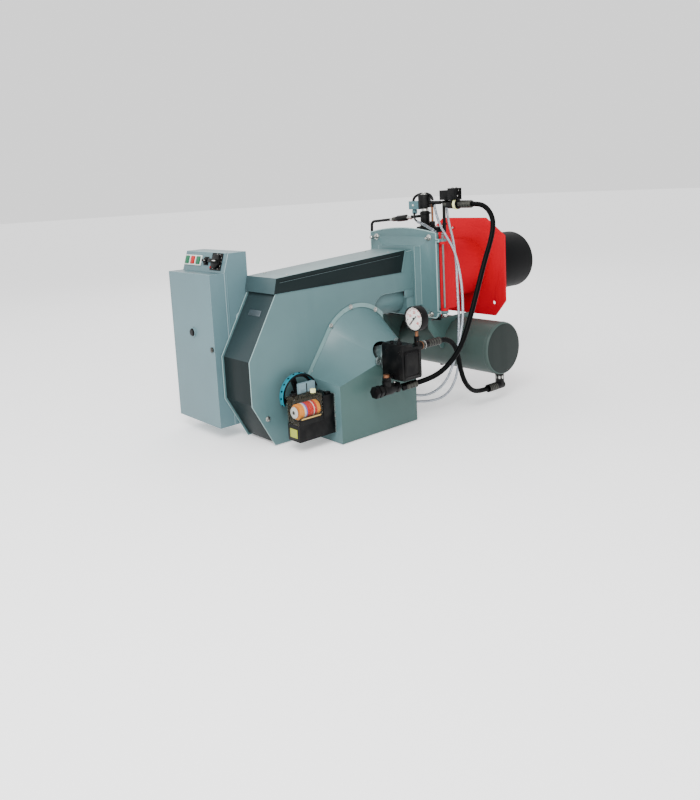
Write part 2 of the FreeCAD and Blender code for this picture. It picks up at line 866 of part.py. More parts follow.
def make_clamp_screws():
    body = piece("clamp_screws")
    spots = [(f"{side} * clamp_y", height) for side in (-1, 1) for height in ("clamp_top", "-clamp_bottom")]
    heads = [hexagon(y, z, "clamp_head") for y, z in spots]
    pad(body, "YZ", heads, f"{FLANGE_REAR} - clamp_head_height", FLANGE_REAR)
    shanks = [circle(y, z, "clamp_hole - seat_gap") for y, z in spots]
    pad(body, "YZ", shanks, FLANGE_REAR, "-(frame_back + seal_gap)")


# Fan housing

def housing_outline():
    return [
        ("-toe_x", "-floor_drop"),
        ("-front_x", "-floor_drop"),
        ("-front_x", "-front_z"),
        ("-(throat_x + throat_radius)", "-(neck_bottom + throat_radius)"),
        ("-throat_x", "-neck_bottom", "throat_radius", -1),
        (NECK_REAR, "-neck_bottom"),
        (NECK_REAR, "shelf_front_z"),
        ("-shelf_rear_x", "shelf_rear_z"),
        ("-step_x", "step_z"),
        ("-rear_x", "-rear_high"),
        ("-rear_x", "-rear_low"),
    ]


def make_side_plates():
    body = piece("near_side_plate")
    pad(body, "XZ", [polygon(housing_outline())], "-housing_half", minus(PLATE_INSIDE))
    holes = [
        circle("-fan_x", "-fan_z", "eye_radius"),
        circle("-sector_x", "-sector_z", "stub_radius + seat_gap"),
    ]
    pocket(body, "XZ", holes, "-housing_half", minus(PLATE_INSIDE))

    body = piece("far_side_plate")
    pad(body, "XZ", [polygon(housing_outline())], PLATE_INSIDE, "housing_half")
    pocket(body, "XZ", [circle("-fan_x", "-fan_z", "shaft_radius * 2")], PLATE_INSIDE, "housing_half")


def make_wrapper():
    """Fold one sheet round between the side plates, set in from their edges and open at the flange."""
    outline = document.addObject("Sketcher::SketchObject", "wrapper_outline")
    outline.Placement = FreeCAD.Placement(FreeCAD.Vector(), FreeCAD.Rotation(FreeCAD.Vector(1, 0, 0), 90))
    polygon(housing_outline())(outline)
    blocks = []
    for inset in ("housing_lip", "housing_lip + sheet"):
        edge = document.addObject("Part::Offset2D", "wrapper_edge")
        edge.Source = outline
        edge.Join = "Intersection"
        edge.setExpression("Value", bind(minus(inset)))
        block = document.addObject("Part::Extrusion", "wrapper_block")
        block.Base = edge
        block.DirMode = "Custom"
        block.Dir = FreeCAD.Vector(0, 1, 0)
        block.Solid = True
        block.setExpression("LengthFwd", bind(PLATE_INSIDE))
        block.setExpression("LengthRev", bind(PLATE_INSIDE))
        blocks.append(block)
    shell = document.addObject("Part::Cut", "wrapper_shell")
    shell.Base, shell.Tool = blocks
    mouth = document.addObject("Part::Box", "wrapper_mouth")
    mouth.setExpression("Length", bind("housing_lip + sheet * 2"))
    mouth.setExpression("Width", bind(f"2 * {PLATE_INSIDE}"))
    mouth.setExpression("Height", bind("shelf_front_z + neck_bottom - 2 * housing_lip"))
    mouth.setExpression("Placement.Base.x", bind(f"{NECK_REAR} - housing_lip - sheet * 2"))
    mouth.setExpression("Placement.Base.y", bind(minus(PLATE_INSIDE)))
    mouth.setExpression("Placement.Base.z", bind("-neck_bottom + housing_lip"))
    slot = document.addObject("Part::Box", "wrapper_slot")
    slot.setExpression("Length", bind("outlet_start - frame_back"))
    slot.setExpression("Width", bind("2 * (outlet_half + seat_gap)"))
    slot.setExpression("Height", bind("outlet_bottom"))
    slot.setExpression("Placement.Base.x", bind("-(outlet_start + seat_gap)"))
    slot.setExpression("Placement.Base.y", bind("-(outlet_half + seat_gap)"))
    slot.setExpression("Placement.Base.z", bind("-(outlet_bottom + seat_gap)"))
    cuts = document.addObject("Part::MultiFuse", "wrapper_cuts")
    cuts.Shapes = [mouth, slot]
    sheet_metal = document.addObject("Part::Cut", "housing_wrapper")
    sheet_metal.Base = shell
    sheet_metal.Tool = cuts
    sheet_metal.Label = "housing_wrapper"
    PIECES.append(sheet_metal)


def trough(inset):
    """Outline the outlet duct's rounded trough, set in by a wall."""
    half = f"outlet_half - {inset}"
    low = f"-(outlet_bottom - {inset})"
    return mirrored([
        ("outlet_half - outlet_corner", low),
        (half, "-(outlet_bottom - outlet_corner)", f"outlet_corner - {inset}", 1),
        (half, "-(neck_bottom + seat_gap)"),
    ])


def make_outlet_duct():
    body = piece("outlet_duct")
    pad(body, "YZ", [polygon(trough("0"))], "-outlet_start", "-heel_x")
    pocket(body, "YZ", [polygon(trough("sheet"))], "-(outlet_start - sheet)", "-heel_x")


def make_top_cover():
    body = piece("top_cover")
    shell = [
        ("-cap_low_x", "cap_low_z"),
        ("-(cover_front_x + cover_slant)", "skirt_front_z"),
        ("-cover_front_x", "cover_front_z"),
        ("-cap_top_x", "cap_top_z"),
    ]
    pad(body, "XZ", [polygon(shell)], "-(housing_half + seat_gap + cover_wall)",
        "housing_half + seat_gap + cover_wall")
    inside = [
        ("-(cap_low_x - cover_wall)", "cap_low_z - cover_wall"),
        ("-(cover_front_x - cover_wall)", "skirt_front_z - cover_drop"),
        ("-(cover_front_x - cover_wall)", "cover_front_z - cover_wall"),
        ("-(cap_top_x - cover_wall)", "cap_top_z - cover_wall"),
    ]
    pocket(body, "XZ", [polygon(inside)], "-(housing_half + seat_gap)", "housing_half + seat_gap")


# Air intake hood with its damper

def hood_foot(inset):
    return polygon([
        (f"-(hood_left - {inset})", f"-(floor_drop + {inset})"),
        (f"-(hood_right + {inset})", f"-(floor_drop + {inset})"),
        (f"-(hood_right + {inset})",
            f"-fan_z + sqrt((arch_radius - {inset})^2 - (fan_x - hood_right - {inset})^2)"),
        (f"-fan_x - (arch_radius - {inset}) * cos(arch_lean)",
            f"-fan_z + (arch_radius - {inset}) * sin(arch_lean)",
         f"arch_radius - {inset}", 1),
        (f"-(hood_left - {inset})", f"-(arch_foot + {inset})"),
    ])


def hood_brow(inset):
    return polygon([
        (f"-(hood_left - {inset})", f"-(floor_drop + {inset})"),
        (f"-(hood_right + {inset})", f"-(floor_drop + {inset})"),
        (f"-(hood_right + {inset})", f"-(brow_right + {inset})"),
        ("-brow_x", f"-(brow_z + {inset})", "brow_radius", 1),
        (f"-(hood_left - {inset})", f"-(brow_foot + {inset})"),
    ])


def make_hood():
    body = piece("intake_hood")
    front = "-(housing_half + hood_depth)"
    back = "-(housing_half + seat_gap)"
    loft(body, "XZ", [(hood_foot("0"), minus(back)), (hood_brow("0"), minus(front))])
    loft(body, "XZ", [(hood_foot("hood_wall"), minus(back)),
                      (hood_brow("hood_wall"), minus(f"{front} + hood_wall"))], "Subtractive")
    shelf = rectangle("-(hood_left - hood_wall)", "-(damper_z + damper_thick / 2)",
                      "-(hood_right + hood_wall)", "-(damper_z - damper_thick / 2)")
    pad(body, "XZ", [shelf], "-shelf_y", back)
    lip_back = f"{back} - hood_lip_thick"
    lip = polygon([
        ("-hood_left", "-arch_foot"),
        ("-fan_x - arch_radius * cos(arch_lean)", "-fan_z + arch_radius * sin(arch_lean)"),
        ("-hood_right", "-fan_z + sqrt(arch_radius^2 - (fan_x - hood_right)^2)", "arch_radius", -1),
        ("-hood_right", "-fan_z + sqrt((arch_radius + hood_lip)^2 - (fan_x - hood_right)^2)"),
        ("-fan_x - (arch_radius + hood_lip) * cos(arch_lean)",
            "-fan_z + (arch_radius + hood_lip) * sin(arch_lean)",
         "arch_radius + hood_lip", 1),
        ("-(hood_left + hood_lip)", "-arch_foot"),
    ])
    pad(body, "XZ", [lip], lip_back, back)
    pocket(body, "XZ", [circle("-fan_x", "-fan_z", "bracket_radius + seat_gap")],
           f"{front} - hood_wall", "-shelf_y")
    spindle = circle("-damper_y", "-damper_z", "spindle_radius + run_clear")
    pocket(body, "YZ", [spindle], "-hood_left", "-hood_right")


def make_damper():
    body = piece("damper_blade")
    blade = rectangle("-(damper_y + blade_half)", "-(damper_z + damper_thick / 2)",
                      "-(damper_y - blade_half)", "-(damper_z - damper_thick / 2)")
    pad(body, "YZ", [blade], "-(hood_left - hood_wall - damper_gap)",
        "-(hood_right + hood_wall + damper_gap)")
    axle = circle("-damper_y", "-damper_z", "spindle_radius")
    pad(body, "YZ", [axle], "-(servo_left - lid_wall * 2)", "-(hood_right - hood_wall)")


# Fan, shaft and motor

def make_fan():
    body = piece("fan_impeller")
    pad(body, "XY", [circle("0", "0", "fan_radius")], "0", "fan_plate")
    pad(body, "XY", [circle("0", "0", "fan_hub")], "fan_plate", "fan_hub_length")
    vane = polygon([
        ("blade_inner", "0"),
        ("fan_radius", "blade_sweep", "blade_bend", -1),
        ("fan_radius - blade_thick", "blade_sweep + blade_thick"),
        ("blade_inner", "blade_thick", "blade_bend - blade_thick", 1),
    ])
    blade = pad(body, "XY", [vane], "fan_plate", "fan_width - fan_plate")
    repeat(body, blade, "Z", "fan_blades")
    ring = [circle("0", "0", "fan_radius"), circle("0", "0", "blade_inner - blade_thick")]
    pad(body, "XY", ring, "fan_width - fan_plate", "fan_width")
    pocket(body, "XY", [circle("0", "0", "shaft_radius + run_clear")], "0", "fan_hub_length")
    place(body, "-fan_x", f"{PLATE_INSIDE} - fan_gap", "-fan_z", *FACING_NEAR)

    body = piece("fan_shaft")
    line = circle("-fan_x", "-fan_z", "shaft_radius")
    pad(body, "XZ", [line], "-(bracket_face + bracket_flange + shaft_seat)", "housing_half + shaft_seat")

    body = piece("inlet_ring")
    half = [
        ("eye_radius - sheet", "-inlet_depth"),
        ("eye_radius - seat_gap", "-inlet_depth"),
        ("eye_radius - seat_gap", "sheet + seat_gap"),
        ("eye_radius + inlet_rim", "sheet + seat_gap"),
        ("eye_radius + inlet_rim", "sheet * 2"),
        ("eye_radius - sheet", "sheet * 2"),
    ]
    turned(body, "XZ", polygon(half))
    place(body, "-fan_x", minus(PLATE_INSIDE), "-fan_z", *FACING_NEAR)


def make_motor():
    body = piece("motor_body")
    pad(body, "XY", [circle("0", "0", "motor_foot")], "0", "motor_foot_thick")
    pad(body, "XY", [circle("0", "0", "motor_radius")], "motor_foot_thick", "motor_length")
    rib = rectangle("motor_radius - fin_height", "-fin_thick / 2", "motor_radius + fin_height",
        "fin_thick / 2")
    fin = pad(body, "XY", [rib], "motor_foot_thick", "motor_length")
    repeat(body, fin, "Z", "motor_fins")
    box = rectangle("-terminal_width / 2", "-(motor_radius + fin_height + terminal_height)",
                    "terminal_width / 2", "-motor_radius / 2")
    start = "motor_foot_thick + terminal_height"
    pad(body, "XY", [box], start, f"{start} + terminal_length")
    pocket(body, "XY", [circle("0", "0", "shaft_radius + run_clear")], "0", "shaft_seat")
    place(body, "-fan_x", "housing_half", "-fan_z", *FACING_FAR)

    body = piece("motor_cowl")
    half = [
        ("0", "0"),
        ("cowl_radius", "0"),
        ("cowl_radius", "cowl_length - cowl_round"),
        ("cowl_radius - cowl_round", "cowl_length", "cowl_round", 1),
        ("0", "cowl_length"),
    ]
    turned(body, "XZ", polygon(half))
    place(body, "-fan_x", "housing_half + motor_length", "-fan_z", *FACING_FAR)


# Oil pump with its bracket, gauge and outlet valve

def make_pump_bracket():
    body = piece("pump_bracket")
    back = "bracket_face + bracket_flange"
    bell = [
        ("bracket_neck - bracket_wall", "bracket_start"),
        ("bracket_neck", "bracket_start"),
        ("bracket_radius", "bracket_face"),
        ("bracket_radius", back),
        ("bracket_radius - bracket_wall", back),
        ("bracket_radius - bracket_wall", "bracket_face"),
    ]
    turned(body, "XZ", polygon(bell))
    ear = pad(body, "XY", [circle(minus("lobe_out"), "0", "lobe_radius")], "bracket_face", back)
    repeat(body, ear, "Z", "lobes")
    hole = pocket(body, "XY", [circle(minus("lobe_out"), "0", "lobe_hole")], "bracket_face", back)
    repeat(body, hole, "Z", "lobes")
    pocket(body, "XY", [circle("0", "0", "bracket_radius - bracket_wall")], "bracket_face", back)
    place(body, "-fan_x", "0", "-fan_z", *FACING_NEAR)


def make_pump():
    body = piece("oil_pump")
    back = "-(bracket_face + bracket_flange)"
    block = [
        ("-pump_left", "-pump_bottom"),
        ("-pump_right", "-pump_bottom"),
        ("-pump_right", "-(pump_top + pump_step)"),
        ("-pump_step_x", "-(pump_top + pump_step)"),
        ("-pump_step_x", "-pump_top"),
        ("-pump_left", "-pump_top"),
    ]
    pad(body, "XZ", [polygon(block)], "-pump_face", back)
    round_edges(body, "pump_corner", lambda edge: abs(edge.Vertexes[0].Y - edge.Vertexes[-1].Y) > 1
                and abs(edge.Vertexes[0].X + number("pump_step_x")) > 1)
    pocket(body, "XZ", [circle("-fan_x", "-fan_z", "shaft_radius + run_clear")],
           f"{back} - shaft_seat", back)
    pad(body, "XY", [hexagon("-plug_x", "-port_y", "plug_radius")], "-pump_top",
        "-pump_top + plug_height / 2")
    pad(body, "XY", [circle("-plug_x", "-port_y", "plug_radius / 2")], "-pump_top + plug_height / 2",
        "-pump_top + plug_height")

    body = piece("return_fitting")
    start = "-pump_right"
    pad(body, "YZ", [hexagon("-port_y", "-port_z", "port_radius")], start, f"{start} + port_length")
    pad(body, "YZ", [circle("-port_y", "-port_z", "ferrule_radius")], f"{start} + port_length",
        f"{start} + port_length + ferrule_length")


def make_gauge():
    body = piece("gauge_stem")
    low = "-(pump_top + pump_step)"
    pad(body, "XY", [hexagon("-stem_x", "-gauge_y", "stem_nut")], low, f"{low} + stem_nut_height")
    pad(body, "XY", [circle("-stem_x", "-gauge_y", "stem_radius")], f"{low} + stem_nut_height",
        "-(gauge_z + gauge_radius + seat_gap)")

    body = piece("gauge_case")
    half = [
        ("0", "0"),
        ("gauge_radius", "0"),
        ("gauge_radius", "gauge_depth"),
        ("gauge_radius - gauge_rim", "gauge_depth"),
        ("gauge_radius - gauge_rim", "gauge_depth - gauge_recess"),
        ("needle_axle / 2 + run_clear", "gauge_depth - gauge_recess"),
        ("needle_axle / 2 + run_clear", "gauge_depth - gauge_recess * 2"),
        ("0", "gauge_depth - gauge_recess * 2"),
    ]
    turned(body, "XZ", polygon(half))
    place(body, "-(gauge_x - gauge_depth)", "-gauge_y", "-gauge_z", *FACING_REAR)

    body = piece("gauge_needle")
    seat = "gauge_depth - gauge_recess"
    low = f"{seat} + needle_gap"
    pointer = polygon([
        needle_point("-needle_tail", "needle_width / 2"),
        needle_point("-needle_tail", "-needle_width / 2"),
        needle_point("needle_length", "-needle_thick / 2"),
        needle_point("needle_length", "needle_thick / 2"),
    ])
    pad(body, "XY", [pointer], low, f"{low} + needle_thick")
    pad(body, "XY", [circle("0", "0", "needle_width")], low, f"{low} + needle_thick")
    pad(body, "XY", [circle("0", "0", "needle_axle / 2")], f"{seat} - gauge_recess / 2", low)
    place(body, "-(gauge_x - gauge_depth)", "-gauge_y", "-gauge_z", *FACING_REAR)


def needle_point(along, across):
    """Place a point of the pointer, which rests at the low end of its scale."""
    return (f"({along}) * cos(needle_rest) - ({across}) * sin(needle_rest)",
            f"({along}) * sin(needle_rest) + ({across}) * cos(needle_rest)")


def make_outlet_valve():
    body = piece("outlet_valve")
    second = "-(valve_left - valve_cap_length - valve_groove)"
    for start in ("-valve_left", second):
        pad(body, "YZ", [hexagon("-valve_y", "-valve_z", "valve_radius")], start,
            f"{start} + valve_cap_length")
    pad(body, "YZ", [circle("-valve_y", "-valve_z", "valve_neck")], "-valve_left", "-valve_right")
    pad(body, "YZ", [circle("-valve_y", "-valve_z", "valve_body")], "-(valve_x + valve_chest)",
        "-(valve_x - valve_chest)")
    pad(body, "YZ", [hexagon("-valve_y", "-valve_z", "valve_body")], "-(valve_right + valve_end)",
        "-valve_right")
    pad(body, "XY", [circle("-valve_x", "-valve_y", "valve_neck")], "-valve_z", "-valve_nut_low")

    body = piece("outlet_nut")
    shoulder = "-valve_nut_low + valve_nut_height"
    pad(body, "XY", [hexagon("-valve_x", "-valve_y", "valve_nut")], "-valve_nut_low", shoulder)
    pad(body, "XY", [circle("-valve_x", "-valve_y", "valve_ring")], shoulder, "-valve_nut_top")
    arm = circle("-valve_y", "-(valve_nut_top + valve_nut_low) / 2", "valve_neck / 2")
    pad(body, "YZ", [arm], "-valve_x", "-pump_left")


# Servo motor that turns the damper

def make_servo():
    body = piece("servo_body")
    deck = rectangle("-servo_left", "-servo_bottom", "-servo_right", "-servo_top")
    pad(body, "XZ", [deck], "-servo_front", "-servo_rear")
    tower = rectangle("-servo_tower_x", "-servo_top", "-servo_right", "-servo_tower_top")
    pad(body, "XZ", [tower], "-servo_front", "-servo_rear")
    post = rectangle("-(servo_left - lid_wall - seat_gap)", "-servo_top",
                     "-(servo_left - lid_wall - seat_gap - servo_post)", "-(damper_z - servo_post_half)")
    pad(body, "XZ", [post], "-(damper_y + servo_post_half)", "-(damper_y - servo_post_half)")
    pad(body, "XZ", [rectangle("-gear_left", "-gear_bottom", "-gear_right", "-gear_top")],
        "-servo_rear", "-gear_front")
    link = rectangle("-gear_left", "-servo_bottom", "-gear_right", "-gear_bottom")
    pad(body, "XZ", [link], "-servo_rear", "-gear_front")
    bore = circle("-damper_y", "-damper_z", "spindle_radius + run_clear")
    pocket(body, "YZ", [bore], "-servo_left", "-servo_right")
    pocket(body, "XZ", [circle("-sector_x", "-sector_z", "stub_radius + run_clear")], "-servo_rear",
        "-gear_front")

    body = piece("servo_lid")
    shell = rectangle("-servo_left", "-servo_top", "-lid_right", "-lid_top")
    pad(body, "XZ", [shell], "-servo_front", "-servo_rear")
    inside = rectangle("-(servo_left - lid_wall)", "-servo_top", "-lid_right", "-(lid_top + lid_wall)")
    pocket(body, "XZ", [inside], "-(servo_front - lid_wall)", "-(servo_rear + lid_wall)")
    pad(body, "XY", [hexagon("-gland_x", "-damper_y", "gland_radius")], "-lid_top",
        "-lid_top + gland_height")

    body = piece("servo_bracket")
    pad(body, "YZ", [rectangle("-servo_front", "-servo_bottom", "-shelf_y", "-servo_tower_top")],
        "-(hood_left + bracket_sheet)", "-hood_left")
    pocket(body, "YZ", [circle("-damper_y", "-damper_z", "spindle_radius + run_clear")],
           "-(hood_left + bracket_sheet)", "-hood_left")

    body = piece("cam_drum")
    half = [
        ("-drum_left", "spindle_radius + seat_gap"),
        ("-drum_right", "spindle_radius + seat_gap"),
        ("-drum_right", "drum_radius"),
        ("-drum_split", "drum_radius"),
        ("-drum_split", "disc_waist"),
        ("-drum_left", "disc_waist"),
    ]
    turned(body, "XZ", polygon(half), "H_Axis")
    for ring in range(int(number("discs"))):
        left = f"-drum_left + {ring} * disc_pitch"
        disc = [circle("0", "0", "disc_radius"), circle("0", "0", "disc_waist - lid_wall")]
        pad(body, "YZ", disc, left, f"{left} + disc_width")
    for ring in range(1, int(number("drum_grooves")) + 1):
        middle = f"-drum_split + (drum_split - drum_right) * {ring} / (drum_grooves + 1)"
        groove = [
            (f"{middle} - drum_groove_width / 2", "drum_radius - drum_groove_depth"),
            (f"{middle} + drum_groove_width / 2", "drum_radius - drum_groove_depth"),
            (f"{middle} + drum_groove_width / 2", "drum_radius + drum_groove_depth"),
            (f"{middle} - drum_groove_width / 2", "drum_radius + drum_groove_depth"),
        ]
        turned(body, "XZ", polygon(groove), "H_Axis", "Groove")
    place(body, "0", "-damper_y", "-damper_z")


def make_cam_sector():
    body = piece("cam_sector")
    band = polygon([
        sector_point("sector_radius", "sector_first"),
        sector_point("sector_radius", "sector_middle") + ("sector_radius", 1),
        sector_point("sector_radius", "sector_last") + ("sector_radius", 1),
        sector_point("sector_radius - sector_band", "sector_last"),
        sector_point("sector_radius - sector_band", "sector_middle") + ("sector_radius - sector_band", -1),
        sector_point("sector_radius - sector_band", "sector_first") + ("sector_radius - sector_band", -1),
    ])
    pad(body, "XZ", [band], "-sector_front", "-sector_rear")
    inner = "sector_radius - sector_band * 2"
    liner = polygon([
        sector_point("sector_radius - sector_band", "sector_first"),
        sector_point("sector_radius - sector_band", "sector_middle") + ("sector_radius - sector_band", 1),
        sector_point("sector_radius - sector_band", "sector_last") + ("sector_radius - sector_band", 1),
        sector_point(inner, "sector_last"),
        sector_point(inner, "sector_middle") + (inner, -1),
        sector_point(inner, "sector_first") + (inner, -1),
    ])
    pad(body, "XZ", [liner], "-(sector_rear + sector_width / 2)", "-sector_rear")
    for angle in ("sector_first + sector_spoke", "sector_middle", "sector_last - sector_spoke"):
        spoke = polygon([
            sector_point("sector_spoke", f"{angle} - 90"),
            sector_point(inner, f"{angle} - sector_spoke"),
            sector_point(f"{inner} + sector_band / 2", angle),
            sector_point(inner, f"{angle} + sector_spoke"),
            sector_point("sector_spoke", f"{angle} + 90"),
        ])
        pad(body, "XZ", [spoke], "-(sector_rear + sector_width / 2)", "-sector_rear")
    pad(body, "XZ", [circle("0", "0", "sector_hub")], "-sector_front", "-sector_rear")
    pad(body, "XZ", [circle("0", "0", "stub_radius")], "-(servo_rear - seat_gap)",
        "-(housing_half - sheet)")
    place(body, "-sector_x", "0", "-sector_z")


def sector_point(radius, angle):
    return (f"({radius}) * cos({angle})", f"({radius}) * sin({angle})")


# Oil preheater under the wind box

def make_preheater():
    body = piece("preheater_tank")
    pad(body, "XZ", [circle("-tank_x", "-tank_z", "tank_radius")], "-tank_near", "tank_far")
    round_edges(body, "tank_edge", lambda edge: abs(edge.BoundBox.YLength) < 1)

    body = piece("tank_saddles")
    outline = polygon([
        (FLANGE_REAR, "-saddle_rear_z"),
        ("-saddle_low_x", "-saddle_low_z"),
        ("-tank_x", "-saddle_low_z"),
        ("-saddle_front", "-tank_z + tank_radius / 2"),
        ("-saddle_front", "-saddle_top"),
        (FLANGE_FRONT, "-saddle_top"),
        (FLANGE_FRONT, "-flange_bottom"),
        (FLANGE_REAR, "-flange_bottom"),
    ])
    for side in (-1, 1):
        pad(body, "XZ", [outline], f"{side} * saddle_y - saddle_thick / 2",
            f"{side} * saddle_y + saddle_thick / 2")
    pocket(body, "XZ", [circle("-tank_x", "-tank_z", "tank_radius + seat_gap")], "-tank_near", "tank_far")

    body = piece("tank_elbow")
    pad(body, "XY", [hexagon("-elbow_x", "-elbow_y", "elbow_nut")], "-elbow_z",
        "-(tank_z + tank_radius + seat_gap)")
    pad(body, "YZ", [circle("-elbow_y", "-elbow_z", "elbow_radius")], "-elbow_left",
        "-(elbow_x - elbow_nut)")


# Nozzle valve group

def make_valve_group():
    body = piece("valve_block")
    slab = rectangle("-block_near", "block_bottom", "-block_far", "block_bottom + block_height")
    pad(body, "YZ", [slab], FLANGE_FRONT, "-block_front")
    seat = circle("-group_x", "-riser_y", "riser_radius + seat_gap")
    pocket(body, "XY", [seat], "block_bottom", "block_bottom + block_height")

    top = "block_bottom + block_height"
    body = piece("solenoid_valve")
    pad(body, "XY", [circle("-group_x", "-body_y", "body_radius")], top, "body_top")
    pad(body, "XY", [circle("-group_x", "-body_y", "coil_core")], "body_top", "coil_top + coil_core / 2")

    body = piece("solenoid_coil")
    ring = [circle("-group_x", "-body_y", "coil_radius"),
        circle("-group_x", "-body_y", "coil_core + seat_gap")]
    pad(body, "XY", ring, "coil_bottom", "coil_top")
    box = rectangle("-(group_x + din_half)", "-din_near", "-(group_x - din_half)", "-din_far")
    pad(body, "XY", [box], "din_bottom", "din_top")

    body = piece("copper_riser")
    pad(body, "XY", [hexagon("-group_x", "-copper_y", "socket_radius")], top, f"{top} + block_height")
    pad(body, "XY", [circle("-group_x", "-copper_y", "copper_radius")], f"{top} + block_height",
        "socket_top")
    pad(body, "XZ", [circle("-group_x", "socket_top", "tee_radius")],
        "-(riser_y - riser_radius - seat_gap)",
        "-(copper_y - tee_radius)")

    body = piece("pressure_switch")
    box = rectangle("-(group_x + switch_half)", "-switch_near", "-(group_x - switch_half)", "-switch_far")
    pad(body, "XY", [box], "switch_bottom", "switch_top")
    pad(body, "XY", [circle("-group_x", "-riser_y", "riser_radius")], "block_bottom", "switch_bottom")

    body = piece("hose_union")
    pad(body, "XZ", [circle("-group_x", "union_z", "union_radius")], "-union_near",
        "-(riser_y + riser_radius)")
    pad(body, "XY", [circle("-group_x", "-union_y", "riser_radius")], "union_z", "switch_bottom")

    pipe("heater_pipe", "pipe_radius", [
        (minus("group_x"), "-(body_y - body_radius - seat_gap)", "body_top - body_radius"),
        (minus("group_x"), "heater_joint_y", "heater_joint_z"),
        (minus("group_x"), "heater_corner_y", "heater_corner_z"),
        (minus("group_x"), "heater_drop_y", "heater_drop_z"),
        ("-heater_bend_x", "heater_bend_y", "-heater_bend_z"),
        ("-tank_x", "heater_tank_y", "-heater_tank_z"),
        ("-tank_x", "heater_tank_y", "-(tank_z - tank_radius)"),
    ], "pipe_bend")


# Hoses and conduits, whose routes are chosen by hand

def make_hoses():
    pipe("feed_hose", "hose_radius", FEED_ROUTE)
    pipe("return_hose", "hose_radius", RETURN_ROUTE)
    pipe("upper_conduit", "conduit_radius", UPPER_ROUTE)
    pipe("lower_conduit", "conduit_radius", LOWER_ROUTE)


FEED_ROUTE = [
    (-303, -291, 243), (-303, -319, 243), (-304, -347, 233), (-307, -369, 212), (-312, -382, 183),
    (-328, -386, 138), (-368, -389, 70), (-418, -391, -38), (-464, -388, -145), (-490, -374, -203),
    (-520, -345, -252), (-552, -314, -278), (-590, -297, -285),
]

RETURN_ROUTE = [
    (-475, -290, -174), (-452, -290, -174), (-427, -290, -183), (-407, -290, -200), (-394, -290, -223),
    (-382, -290, -276), (-364, -290, -328), (-328, -288, -366), (-284, -284, -381), (-236, -284, -381),
]

UPPER_ROUTE = [
    (-303, -127, 242.4), (-305, -134, 222), (-313, -150, 197), (-322, -170, 172), (-326, -197, 140),
    (-326, -228, 100), (-327, -246, 50), (-325, -256, -10), (-322, -257, -75), (-322, -255, -140),
    (-330, -246, -200), (-343, -226, -288), (-354, -204, -343), (-384, -188, -373), (-430, -180, -381),
    (-472, -168, -373), (-506, -166, -370),
]

LOWER_ROUTE = [
    (-285, -166, 256.7), (-285, -167, 222), (-290, -178, 180), (-301, -203, 132), (-312, -218, 100),
    (-317, -230, 50), (-320, -233, -5), (-321, -236, -74), (-319, -237, -134), (-317, -230, -204),
    (-314, -226, -292), (-326, -213, -360), (-362, -202, -397), (-416, -184, -404), (-468, -156, -398),
    (-506, -148, -396),
]


def make_conduit_glands():
    body = piece("conduit_glands")
    glands = [hexagon(str(route[-1][1]), str(route[-1][2]), "conduit_gland")
        for route in (UPPER_ROUTE, LOWER_ROUTE)]
    pad(body, "YZ", glands, "-hood_right", "-(hood_right - conduit_gland_length)")


def make_feed_ferrule():
    start = FreeCAD.Vector(*FEED_ROUTE[-1])
    way = start - FreeCAD.Vector(*FEED_ROUTE[-2])
    item = document.addObject("Part::Cylinder", "feed_ferrule")
    item.Label = "feed_ferrule"
    item.setExpression("Radius", bind("ferrule_radius"))
    item.setExpression("Height", bind("feed_ferrule_length"))
    item.Placement = FreeCAD.Placement(start, FreeCAD.Rotation(FreeCAD.Vector(0, 0, 1), way))
    PIECES.append(item)


# Switch cabinet

def slope_x(distance):
    return f"-cabinet_front + ({distance}) * sin(console_lean)"


def slope_z(distance):
    return f"cabinet_sill + ({distance}) * cos(console_lean)"


CONSOLE_TURN = ((0, 1, 0), "-(90 - console_lean)")


def on_console(body, y):
    place(body, slope_x("console_rise"), y, slope_z("console_rise"), *CONSOLE_TURN)


